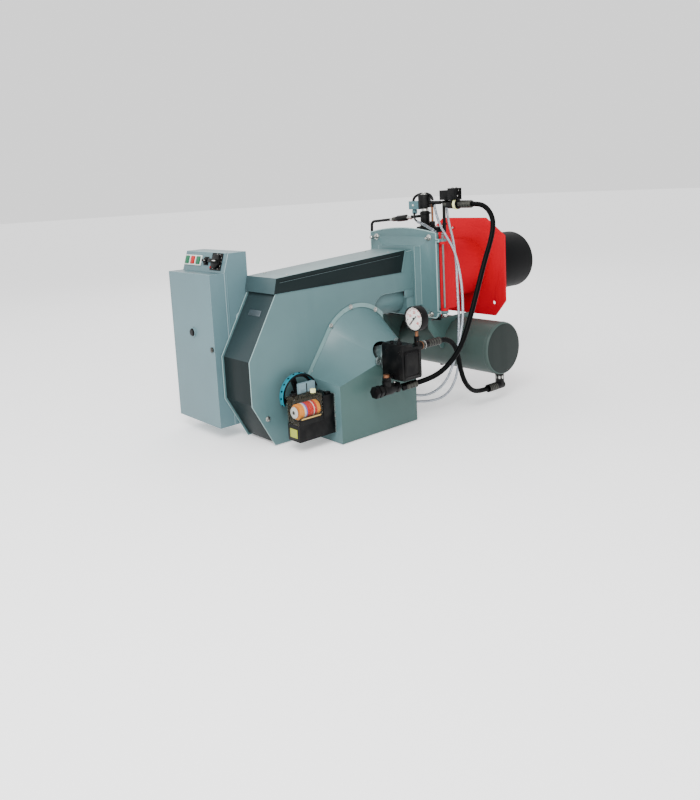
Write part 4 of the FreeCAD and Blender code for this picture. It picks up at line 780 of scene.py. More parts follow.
def block(low: Point, high: Point, edge: float = 0.0) -> Item:
    """Makes a box with broken edges.

    Args:
        low: Its lowest corner.
        high: Its highest corner.
        edge: Width of its broken edges.

    Returns:
        The box.
    """
    bpy.ops.object.select_all(action="DESELECT")
    bpy.ops.mesh.primitive_cube_add(size=1, location=[(a + b) / 2 for a, b in zip(low, high)])
    item = bpy.context.object
    item.scale = [b - a for a, b in zip(low, high)]
    bpy.ops.object.transform_apply(location=True, rotation=True, scale=True)
    if edge:
        bevelled(item, edge, 2, 30)
    return item


def spun(outline: list[tuple[float, float]], steps: int) -> Item:
    """Turns an outline about the upright axis.

    Args:
        outline: Its (radius, height) points, from the axis or from an inner radius.
        steps: Steps round the turn.

    Returns:
        The turned shell, closed where its ends lie on the axis.
    """
    bpy.ops.object.select_all(action="DESELECT")
    bpy.ops.mesh.primitive_plane_add(size=MM)
    item = bpy.context.object
    with editing(item):
        bpy.ops.mesh.delete(type="VERT")
    item.data.from_pydata([(radius, 0, height) for radius, height in outline],
                          [(k, k + 1) for k in range(len(outline) - 1)], [])
    with editing(item):
        bpy.ops.mesh.spin(steps=steps, angle=2 * math.pi, center=(0, 0, 0), axis=(0, 0, 1))
        bpy.ops.mesh.select_all(action="SELECT")
        bpy.ops.mesh.remove_doubles(threshold=WELD / 2)
        bpy.ops.mesh.normals_make_consistent(inside=False)
    return item


def drum(radius: float, height: float, steps: int = 28) -> Item:
    """Turns an upright solid drum, or a prism with few steps."""
    return spun([(0.0, 0.0), (radius, 0.0), (radius, height), (0.0, height)], steps)


def crimp(radius: float, length: float, bands: int) -> Item:
    """Turns an upright hose sleeve.

    Args:
        radius: Its radius.
        length: Its length.
        bands: Number of its pressed bands.

    Returns:
        The sleeve.
    """
    step, waist = length / bands, radius * 0.88
    outline = [(0.0, 0.0), (waist, 0.0)]
    for band in range(bands):
        outline += [(reach, (band + share) * step)
                    for reach, share in ((radius, 0.1), (radius, 0.6), (waist, 0.72), (waist, 0.98))]
    return spun([*outline, (0.0, length)], 28)


def pressed(item: Item, side: Point, border: float, depth: float, level: float = -math.inf) -> Item:
    """Presses the faces that look one way inwards, inside a border.

    Args:
        item: The piece.
        side: The way that they look.
        border: Width of the border in metres.
        depth: How far they go in.
        level: Only faces further out than this are pressed.

    Returns:
        The piece.
    """
    way = Vector(side)
    with editing(item, "FACE", lambda face: face.normal.dot(way) > FACING
                 and face.calc_center_median().dot(way) > level):
        bpy.ops.mesh.inset(thickness=border)
        bpy.ops.mesh.extrude_region_move(TRANSFORM_OT_translate={"value": tuple(way * -depth)})
    return item


def sunk(item: Item, border: float, depth: float) -> Item:
    """Sinks the top of an upright piece inside a border."""
    top = max(vertex.co.z for vertex in item.data.vertices)
    return pressed(item, UP, border, depth, top - 1e-5)


def hex_screw(radius: float, height: float, washer: float = 0.0) -> Item:
    """Models an upright hexagon head with broken corners.

    Args:
        radius: Radius of its corners.
        height: Height of the head.
        washer: Height of a washer under it, or 0 for none.

    Returns:
        The head.
    """
    head = disc(radius, height, 6, washer)
    bevelled(head, radius * 0.12, 2, 30)
    sunk(head, radius * 0.3, radius * 0.06)
    return join([head, disc(radius * 1.5, washer, 28, 0.0, washer * 0.3)]) if washer else head


def cap_screw(radius: float, height: float) -> Item:
    """Models an upright round head with a rounded rim and a socket.

    Args:
        radius: Its radius.
        height: Its height.

    Returns:
        The head.
    """
    head = disc(radius, height, 24)
    with editing(head, "EDGE", lambda edge: all(vertex.co.z > height * 0.9 for vertex in edge.verts)):
        bpy.ops.mesh.bevel(offset=radius * 0.25, segments=3)
    return sunk(head, radius * 0.38, height * 0.5)


def rod(name: str, route: Iterable[Point], radius: float, steps: int, detail: int) -> Item:
    """Bends a round rod along points.

    Args:
        name: Its name.
        route: The points in millimetres.
        radius: Its radius in metres.
        steps: Steps from point to point.
        detail: Steps in a quarter of its section.

    Returns:
        The rod as a curve.
    """
    curve = bpy.data.curves.new(name, "CURVE")
    curve.dimensions = "3D"
    places = [mm(*point) for point in route]
    spline = curve.splines.new("NURBS")
    spline.points.add(len(places) - 1)
    for point, place in zip(spline.points, places):
        point.co = (*place, 1.0)
    spline.order_u = 3
    spline.use_endpoint_u = True
    curve.resolution_u = steps
    curve.bevel_depth = radius
    curve.bevel_resolution = detail
    curve.use_fill_caps = True
    item = bpy.data.objects.new(name, curve)
    bpy.context.scene.collection.objects.link(item)
    return item


def tube(route: Iterable[Point], radius: float) -> Item:
    """Bends a round rod along points.

    Args:
        route: The points in millimetres.
        radius: Its radius in metres.

    Returns:
        The rod as a mesh.
    """
    item = rod("rod", route, radius, 10, 4)
    alone(item)
    bpy.ops.object.convert(target="MESH")
    return item


def bare_plate(width: float, height: float, thick: float) -> Item:
    """Models an upright-facing blank plate with a rolled border and a rivet in each corner.

    Args:
        width: Its width.
        height: Its height.
        thick: Its thickness.

    Returns:
        The plate.
    """
    rivet = 0.0009
    plate = block((-width / 2, -height / 2, 0.0), (width / 2, height / 2, thick), thick * 0.3)
    sunk(plate, width * 0.06, thick * 0.3)
    corners = [(x * (width / 2 - rivet * 2), y * (height / 2 - rivet * 2), thick * 0.8)
               for x in (-1, 1) for y in (-1, 1)]
    return join([plate, spread(cap_screw(rivet, thick * 0.6), corners)])


@dataclass
class Room:
    """The pale floor, the soft lights and the camera at the photograph's viewing angle."""

    floor_z: float = -0.4375
    eye: Point = (-2.208, -1.885, 0.315)
    right: Point = (0.75686, -0.65165, -0.05008)
    down: Point = (-0.13721, -0.08352, -0.98701)
    ahead: Point = (0.63901, 0.75391, -0.15263)
    lens: float = 34.188
    shift: tuple[float, float] = (0.00625, -0.11875)
    sky: float = 1.35
    glow: float = 0.35
    middle: Point = (-0.4, 0.0, -0.1)
    floor_size: float = 60.0
    sensor: float = 36.0
    clip: float = 0.05

    def build(self) -> None:
        """Makes the floor, the sky, the lights and the camera."""
        bpy.ops.object.select_all(action="DESELECT")
        bpy.ops.mesh.primitive_plane_add(size=self.floor_size, location=(0, 0, self.floor_z))
        floor = bpy.context.object
        floor.name = "floor"
        nodes = Nodes("pale_floor")
        nodes.set(Base_Color=nodes.mix(nodes.noise(0.4), (0.93, 0.93, 0.94, 1.0), (0.96, 0.96, 0.96, 1.0)),
                  Roughness=0.9, Emission_Color=WHITE_LIGHT, Emission_Strength=self.glow)
        floor.data.materials.append(nodes.material)
        world = bpy.data.worlds.new("sky")
        bpy.context.scene.world = world
        world.use_nodes = True
        background = world.node_tree.nodes["Background"].inputs
        background["Color"].default_value = WHITE_LIGHT
        background["Strength"].default_value = self.sky
        self.lamp("key", (-2.4, -1.5, 1.7), 1.3, 95)
        self.lamp("fill", (-3.2, 1.6, 1.6), 2.2, 25)
        self.lamp("rim", (1.2, 2.6, 2.4), 2.0, 40)
        self.camera()

    def lamp(self, name: str, place: Point, size: float, power: float) -> None:
        """Adds a square area light that faces the burner.

        Args:
            name: Its name.
            place: Where it stands.
            size: Its side in metres.
            power: Its power in watts.
        """
        lamp = bpy.data.lights.new(name, "AREA")
        lamp.size = size
        lamp.energy = power
        item = bpy.data.objects.new(name, lamp)
        item.location = place
        aimed = Vector(self.middle) - Vector(place)
        item.rotation_euler = aimed.to_track_quat("-Z", "Y").to_euler()
        bpy.context.scene.collection.objects.link(item)

    def camera(self) -> None:
        """Adds the camera."""
        lens = bpy.data.cameras.new("camera")
        lens.lens = self.lens
        lens.sensor_width = self.sensor
        lens.shift_x, lens.shift_y = self.shift
        lens.clip_start = self.clip
        item = bpy.data.objects.new("camera", lens)
        bpy.context.scene.collection.objects.link(item)
        turn = turned_to(Vector(self.right), -Vector(self.down), -Vector(self.ahead))
        item.matrix_world = Matrix.Translation(self.eye) @ turn
        bpy.context.scene.camera = item


@dataclass
class Assembly:
    """Pieces that are built together and mostly move with one body."""

    body: str = "burner"

    def add(self, name: str, skin: Skin, piece: Item, at: Point | list[Point] | None = None,
            along: Point = UP, body: str = "") -> None:
        """Smooths and settles a piece that stands for no solid.

        Args:
            name: Its name.
            skin: Its finish.
            piece: The piece, upright at the origin, or in place where no place is given.
            at: Its place in millimetres, or several places that get a copy each.
            along: Where its upright axis points.
            body: The body that it moves with, where that isn't the assembly's.
        """
        if isinstance(at, list):
            piece = spread(piece, [mm(*spot) for spot in at], along)
        elif at is not None:
            aim(piece, mm(*at), along)
        smooth(piece, CREASE)
        settle(piece, name, body or self.body, skin)

    def swap(self, name: str, skin: Skin, piece: Item, node: str, crease: float = CREASE) -> None:
        """Smooths a modelled piece and lets it stand for a solid, on that solid's body."""
        smooth(piece, crease)
        settle(piece, name, body_of(node), skin, [node])


@dataclass
class Lines(Assembly):
    """The two oil hoses and the two flexible conduits, each one smooth line along its route."""

    hose: float = 0.016
    conduit: float = 0.0084
    feed: tuple[Point, ...] = (
        (-303, -291, 243), (-303, -319, 243), (-304, -347, 233), (-307, -369, 212), (-312, -382, 183),
        (-328, -386, 138), (-368, -389, 70), (-418, -391, -38), (-464, -388, -145), (-490, -374, -203),
        (-520, -345, -252), (-552, -314, -278), (-590, -297, -285),
    )
    back: tuple[Point, ...] = (
        (-475, -290, -174), (-452, -290, -174), (-427, -290, -183), (-407, -290, -200),
        (-394, -290, -223), (-382, -290, -276), (-364, -290, -328), (-328, -288, -366),
        (-284, -284, -381), (-236, -284, -381),
    )
    upper: tuple[Point, ...] = (
        (-303, -127, 242.4), (-305, -134, 222), (-313, -150, 197), (-322, -170, 172),
        (-326, -197, 140), (-326, -228, 100), (-327, -246, 50), (-325, -256, -10), (-322, -257, -75),
        (-322, -255, -140), (-330, -246, -200), (-343, -226, -288), (-354, -204, -343),
        (-384, -188, -373), (-430, -180, -381), (-472, -168, -373), (-506, -166, -370),
    )
    lower: tuple[Point, ...] = (
        (-285, -166, 256.7), (-285, -167, 222), (-290, -178, 180), (-301, -203, 132),
        (-312, -218, 100), (-317, -230, 50), (-320, -233, -5), (-321, -236, -74), (-319, -237, -134),
        (-317, -230, -204), (-314, -226, -292), (-326, -213, -360), (-362, -202, -397),
        (-416, -184, -404), (-468, -156, -398), (-506, -148, -396),
    )

    def build(self) -> None:
        """Lays the four lines."""
        self.lay("feed_hose", self.feed, 0.703, self.hose, Skin.HOSE)
        self.lay("return_hose", self.back, 0.356, self.hose, Skin.HOSE)
        self.lay("upper_conduit", self.upper, 0.802, self.conduit, Skin.CONDUIT)
        self.lay("lower_conduit", self.lower, 0.839, self.conduit, Skin.CONDUIT)

    def lay(self, node: str, route: tuple[Point, ...], length: float, thick: float, skin: Skin) -> None:
        """Lays one line.

        Args:
            node: The solid that it stands for.
            route: Its control points in millimetres.
            length: Its length in metres, which is not used.
            thick: Its diameter in metres.
            skin: Its finish.
        """
        item = rod(f"{node}_line", route, thick / 2, 16, 6)
        settle(item, f"{node}_line", body_of(node), skin, [node])
        mm(*route[0])


@dataclass
class BoilerFront(Assembly):
    """The red mounting plate and wind box with the blast tube, which stay on the boiler."""

    body: str = "root"
    hinge_x: float = -315.0
    hinge_y: float = -171.0

    def build(self) -> None:
        """Makes the front."""
        dress("mounting_plate", Skin.RED, 0.0012, 3)
        dress("windbox_frame", Skin.RED, 0.0018, 3)
        dress("blast_tube", Skin.TUBE_BLACK, 0.0008, 3)
        for node in ("diffuser", "nozzle_lance", "lance_spider"):
            dress(node, Skin.STAINLESS, 0.0006)
        self.add("plate_screw", Skin.STEEL, cap_screw(0.0038, 0.004), (-9.5, 50, 144), BACK)
        self.hinge()

    def hinge(self) -> None:
        """Makes the hinge rod with its ball, and the acorn nut under the lower lug."""
        ball, steps = 0.0048, 10
        (_, _, low), (_, _, top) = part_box("hinge_pin")
        outline = [(0.0, low), (0.0036, low)]
        outline += [(radius, top - drop) for radius, drop in (
            (0.0036, 0.0285), (0.0085, 0.028), (0.0085, 0.0255), (0.0062, 0.025), (0.0062, 0.0175),
            (0.0034, 0.0165), (0.0034, 0.015), (0.0058, 0.0145), (0.0058, 0.0105), (0.0034, 0.0098))]
        for step in range(steps):
            angle = math.pi * (0.2 + 0.8 * step / steps)
            outline.append((ball * math.sin(angle), top - ball - ball * math.cos(angle)))
        outline.append((0.0, top))
        axis = mm(self.hinge_x, self.hinge_y)
        self.swap("hinge_pin_turned", Skin.DULL_STEEL, aim(spun(outline, 32), (*axis, 0.0)), "hinge_pin")
        (_, _, foot), (_, _, head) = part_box("hinge_nut")
        height = head - foot
        nut = spun([(0.0061, 0.0), (0.0105, 0.0), (0.0112, 0.0015), (0.0112, height * 0.45),
                    (0.0096, height * 0.8), (0.0061, height)], 6)
        bevelled(nut, 0.0006, 2, 30)
        self.swap("hinge_nut_turned", Skin.STEEL, aim(nut, (*axis, foot)), "hinge_nut")
        cap = spun([(0.0, -0.004), (0.006, -0.0036), (0.0098, -0.0014), (0.011, 0.002), (0.0105, 0.005),
                    (0.0, 0.005)], 28)
        self.add("hinge_cap", Skin.STEEL, aim(cap, (*axis, low + 0.003)))


@dataclass
class SwingFlange(Assembly):
    """The flange that swings on the hinge, with its neck, seal and closing screws."""

    screw_y: float = 128.0
    screw_top: float = 134.0
    screw_low: float = -126.0
    rear: float = -335.0

    def build(self) -> None:
        """Makes the flange."""
        dress("burner_flange", Skin.GREY, 0.0014, 3, 28)
        # Painted highlight: beads in the light edge paint along the flange's rim and along the flare's
        # creases.
        self.add("flange_rim", Skin.EDGE, beaded("burner_flange", 0.0022, self.on_rim))
        self.add("flange_creases", Skin.EDGE, beaded("burner_flange", 0.0007, self.on_crease))
        dress("flange_seal", Skin.SEAL, 0.0022, 3)
        for side, low, high in (("near", -77, -75), ("far", 75, 77)):
            gusset = block(mm(-410, low, -64), mm(-362, high, -38), 0.0006)
            self.add(f"{side}_gusset", Skin.GREY, gusset)
        self.screws()
        self.add("plug_cable", Skin.BLACK, tube(
            [(-303, -34, 229), (-306, -36, 217), (-322, -50, 202), (-338, -72, 192), (-341, -88, 187)],
            0.0034))
        self.add("plug_conduit", Skin.CONDUIT, tube(
            [(-341, -84, 188), (-341, -110, 180), (-339, -134, 168), (-330, -148, 158),
             (-316, -150, 150), (-308, -140, 146)], 0.0046))

    @staticmethod
    def on_rim(edge: bmesh.types.BMEdge) -> bool:
        """Says whether an edge lies on the rear rim of the flange's outline.

        Args:
            edge: The edge.

        Returns:
            Whether it does.
        """
        outer = all(abs(vertex.co.y) > 0.14 or not -0.1365 < vertex.co.z < 0.1495 for vertex in edge.verts)
        sides = [abs(face.normal.x) for face in edge.link_faces]
        return (outer and all(vertex.co.x < -0.3348 for vertex in edge.verts)
                and min(sides) < 0.1 and max(sides) > 0.9)

    @staticmethod
    def on_crease(edge: bmesh.types.BMEdge) -> bool:
        """Says whether an edge is a crease of the pressed flare.

        Args:
            edge: The edge.

        Returns:
            Whether it is.
        """
        return (len(edge.link_faces) == 2 and edge.calc_face_angle() > math.radians(14)
                and all(-0.46 < vertex.co.x < -0.3348 for vertex in edge.verts)
                and any(0.05 < abs(face.normal.x) < 0.95 for face in edge.link_faces))

    def screws(self) -> None:
        """Makes the four closing screws, each a stud with a washer, a hexagon nut and a free end."""
        spots = [mm(self.rear, side * self.screw_y, height) for side in (-1, 1)
                 for height in (self.screw_top, self.screw_low)]
        stud = disc(0.0042, 0.026, 24, -0.012, 0.0005)
        nut = hex_screw(0.0078, 0.0068, 0.0016)
        end = spun([(0.0, 0.0084), (0.0038, 0.0084), (0.0038, 0.0172), (0.0028, 0.0184), (0.0, 0.0184)], 20)
        screws = spread(join([nut, stud, end]), spots, BACK)
        self.swap("clamp_screws_turned", Skin.STEEL, screws, "clamp_screws")
        handle = spun([(0.0, 0.0), (0.0052, 0.0), (0.0062, 0.002), (0.0062, 0.012), (0.004, 0.0145),
                       (0.0, 0.015)], 24)
        self.add("closing_handle", Skin.STEEL, handle, (self.rear - 18.2, self.screw_y, self.screw_top), BACK)


@dataclass
class Housing(Assembly):
    """The fan housing with its dark wrapper, outlet duct and top cover."""

    front_x: float = -397.0
    front_z: float = 98.3
    fall: float = 35 / 537

    def top(self, x: float, below: float = 0.0) -> float:
        """Gives the height of the sloping cover at a place along the housing, or so far below it."""
        return self.front_z - (self.front_x - x) * self.fall - below

    def build(self) -> None:
        """Makes the housing."""
        # Painted highlight: the side plates' broken edges get the light edge paint.
        for node in ("near_side_plate", "far_side_plate"):
            dress(node, Skin.GREY, 0.001, 2, 35, Skin.EDGE)
        # Painted light: the wrapper's upper rear facet gets a lighter copy of the dark paint.
        dress("housing_wrapper", Skin.DARK, 0.001, 3, 20, wrapper_upper_facet=(
            Skin.DARK_HIGH, lambda normal, at: normal.z > 0.3 and at.x < -0.9))
        dress("outlet_duct", Skin.GREY, 0.0012, 3)
        self.cover()
        self.fittings()

    def cover(self) -> None:
        """Makes the top cover: a light top, dark skirts and a light hem at the front."""
        # Painted light: the cover's rear cap gets a lighter copy of the dark paint.
        dress("top_cover", Skin.GREY, 0.0016, 3, 30,
              cover_skirts=(Skin.DARK, lambda normal, at: abs(normal.y) > 0.8),
              cover_cap=(Skin.CAP, lambda normal, at: at.x < -0.93 and normal.z < 0.85))
        for side in (-1, 1):
            low = Vector((-417.5, side * 77.6, 24.5))
            rise = Vector((-398, side * 77.6, 96.5)) - low
            hem = block((-0.0035, -0.0008, 0.0), (0.0035, 0.0008, rise.length * MM), 0.0006)
            self.add(f"cover_hem_{side + 1}", Skin.GREY, hem, tuple(low), tuple(rise.normalized()))

    def fittings(self) -> None:
        """Adds the cover's screws, the side plate's screw and the blank plate on the rear facet."""
        tops = [(x, y, self.top(x)) for x in (-460, -880) for y in (-58, 58)]
        self.add("cover_screws", Skin.STEEL, cap_screw(0.004, 0.0022), tops)
        self.add("side_screw", Skin.STEEL, hex_screw(0.0055, 0.004, 0.0012), (-993.5, -75, -347.5), NEAR)
        rise = Vector((-35, 0, 537)).normalized()
        bead = block((-0.0006, -0.0005, 0.0), (0.0006, 0.0005, 0.5), 0.0003)
        # Painted shadow and painted highlight: a black line and a light line along each skirt stand for the
        # shade and the light on its fold.
        for name, below, skin in (("cover_crease", 13.0, Skin.SEAL), ("cover_step", 15.2, Skin.DARK_EDGE)):
            start = (-424, -78.2, self.top(-424, below))
            self.add(name, skin, doubled(bead), start, (-rise.z, 0.0, rise.x))
        drop(bead)
        slope = Vector((-108, 0, -187)).normalized()
        plate = bare_plate(0.06, 0.018, 0.0012)
        middle = Vector((-970.5, 0, -38)) * MM + Vector((slope.z, 0, -slope.x)) * -0.007
        self.add("blank_plate", Skin.PLATE, face_on(plate, tuple(middle), NEAR, tuple(-slope)))


@dataclass
class Intake(Assembly):
    """The air intake hood with its lip bolts, damper blade, servo motor and cam sector."""

    drum_y: float = -167.0
    drum_z: float = -318.0

    def build(self) -> None:
        """Makes the intake."""
        # Painted shade: the hood's near face gets the darker copy of the grey paint.
        dress("intake_hood", Skin.GREY, 0.0014, 3, 24,
              hood_lip=(Skin.LIP, lambda normal, at: normal.y < -0.98 and at.y > -0.082),
              hood_front=(Skin.SHADE, lambda normal, at: normal.y < -FACING and at.y < -0.2))
        dress("damper_blade", Skin.ALUMINIUM, 0.0004)
        dress("inlet_ring", Skin.ALUMINIUM, 0.0004)
        dress("servo_bracket", Skin.STEEL, 0.0006)
        bolts = [(x, -78.6, z) for x, z in ((-817, -240), (-738, -108), (-654, -60), (-548, -83))]
        self.add("lip_bolts", Skin.STEEL, hex_screw(0.0052, 0.0038, 0.001), bolts, NEAR)
        self.servo()
        self.drum()
        self.sector()

    def servo(self) -> None:
        """Makes the servo motor: black base, grey gear case, clear cover and cream gland."""
        base = copied("servo_body", 0.0014, 3, 30)
        gear = parted(base, lambda face: face.calc_center_median().z > -0.345
                      and face.calc_center_median().y > (-0.138 if face.normal.y > 0.5 else -0.1395))
        post = parted(base, lambda face: -0.968 < face.calc_center_median().x < -0.9605
                      and face.calc_center_median().z > -0.3525)
        drop(post)
        settle(base, "servo_body_finished", self.body, Skin.BLACK, ["servo_body"])
        settle(gear, "gear_case", self.body, Skin.GEAR)
        self.add("gear_seam", Skin.BLACK, block(mm(-894.5, -140.2, -276), mm(-891.5, -138.8, -249), 0.0003))
        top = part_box("servo_lid")[1][2]
        dress("servo_lid", Skin.CLEAR, 0.0012, 3, 30,
              servo_gland=(Skin.PALE, lambda normal, at: at.z > top - 0.0105))
        self.add("servo_shelf", Skin.BLACK, block(mm(-968.5, -196, -353), mm(-880, -194, -336.5), 0.0004))
        self.add("servo_rail", Skin.TAN, block(mm(-960, -196.2, -336.5), mm(-889, -194.8, -332.5), 0.0004))
        lining = block(mm(-966, -141.5, -352), mm(-880, -140, -276), 0.0)
        back = block(mm(-884, -193, -352), mm(-880, -141, -276), 0.0)
        self.add("servo_lining", Skin.BLACK, join([lining, back]))
        plate = face_on(bare_plate(0.034, 0.026, 0.001), mm(-969, self.drum_y, -378), NEAR, UP)
        self.add("servo_plate", Skin.OLIVE, plate)
        lugs = [(-952, -150, -274), (-868, -152, -283.5), (-850, -180, -283.5)]
        lug = block((-0.0085, -0.006, 0.0), (0.0085, 0.006, 0.0075), 0.001)
        self.add("servo_lugs", Skin.BLACK, lug, lugs)

    def drum(self) -> None:
        """Makes the cam drum as a row of rings, each in its own colour, with a dial on its end."""
        low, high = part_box("cam_drum")
        radius = (high[2] - low[2]) / 2
        bands = ((0.21, Skin.ORANGE, "orange_disc"), (0.08, Skin.WHITE, "white_disc"),
                 (0.06, Skin.VIOLET, "violet_disc"), (0.32, Skin.CAM_RED, "red_drum"),
                 (0.04, Skin.WHITE, "white_stripe"), (0.13, Skin.CAM_RED, "red_rim"),
                 (0.16, Skin.ORANGE, "orange_rim"))
        start = low[0]
        for share, skin, name in bands:
            wide = share * (high[0] - low[0])
            ring = spun([(0.0, 0.0), (radius - 0.0008, 0.0), (radius, 0.0007), (radius, wide - 0.0007),
                         (radius - 0.0008, wide), (0.0, wide)], 48)
            aim(ring, (start, self.drum_y * MM, self.drum_z * MM), AHEAD)
            if name == "orange_disc":
                self.swap(name, skin, ring, "cam_drum")
            else:
                self.add(name, skin, ring, body="damper")
            start += wide
        dial = spun([(0.0, 0.0), (0.0155, 0.0), (0.0165, 0.0008), (0.0165, 0.0036), (0.0155, 0.0044),
                     (0.0, 0.0044)], 40)
        self.add("cam_dial", Skin.WHITE, dial, (-961.5, self.drum_y, self.drum_z), BACK, "damper")
        hub = spun([(0.0, 0.0), (0.0062, 0.0), (0.0058, 0.0008), (0.0, 0.001)], 6)
        self.add("cam_hub", Skin.BLACK, hub, (-965.8, self.drum_y, self.drum_z), BACK, "damper")

    def sector(self) -> None:
        """Makes the cam sector: a teal band with its screws on a black liner."""
        centre = Vector((-0.9, -0.109, -0.287))
        dress("cam_sector", Skin.TEAL, 0.0006, 2, 30, sector_liner=(
            Skin.BLACK, lambda normal, at: math.hypot(at.x - centre.x, at.z - centre.z) < 0.0585))
        screw, screws = cap_screw(0.0028, 0.003), []
        for x, z in circle(1, *range(28, 200, 19)):
            way = Vector((x, 0.0, z))
            screws.append(aim(doubled(screw), tuple(centre + way * 0.064), tuple(way)))
        drop(screw)
        self.add("sector_screws", Skin.BLACK, join(screws), body="sector")


@dataclass
class FanDrive(Assembly):
    """The fan wheel with its shaft, and the motor with its cowl and terminal box."""

    x: float = -626.0
    z: float = -210.0

    def build(self) -> None:
        """Makes the drive."""
        dress("fan_impeller", Skin.ALUMINIUM, 0.0004)
        dress("fan_shaft", Skin.STEEL, 0.0006)
        dress("motor_body", Skin.GREY, 0.0012)
        dress("motor_cowl", Skin.GREY, 0.001, 3)
        slot = block((-0.0022, -0.03, 0.0), (0.0022, 0.0, 0.0009), 0.0004)
        slots = []
        for ring, count in ((0.082, 20), (0.045, 10)):
            for angle in (360 * step / count for step in range(count)):
                slots.append(turned(aim(doubled(slot), (0.0, ring, 0.0)), angle))
        drop(slot)
        self.add("cowl_grille", Skin.SEAL, join(slots), (self.x, 324.6, self.z), FAR)
        feet = [(self.x + x, 87, self.z + z) for x, z in circle(92, 45, 135, 225, 315)]
        self.add("motor_bolts", Skin.STEEL, hex_screw(0.0062, 0.0045, 0.001), feet, FAR)
        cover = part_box("motor_body")[1][2]
        lid = block((-0.667, 0.127, cover), (-0.585, 0.223, cover + 0.0024), 0.0009)
        self.add("terminal_lid", Skin.GREY, lid)
        corners = [(x, y, cover / MM + 2.2) for x in (-660, -592) for y in (134, 216)]
        self.add("terminal_screws", Skin.STEEL, cap_screw(0.0032, 0.002), corners)


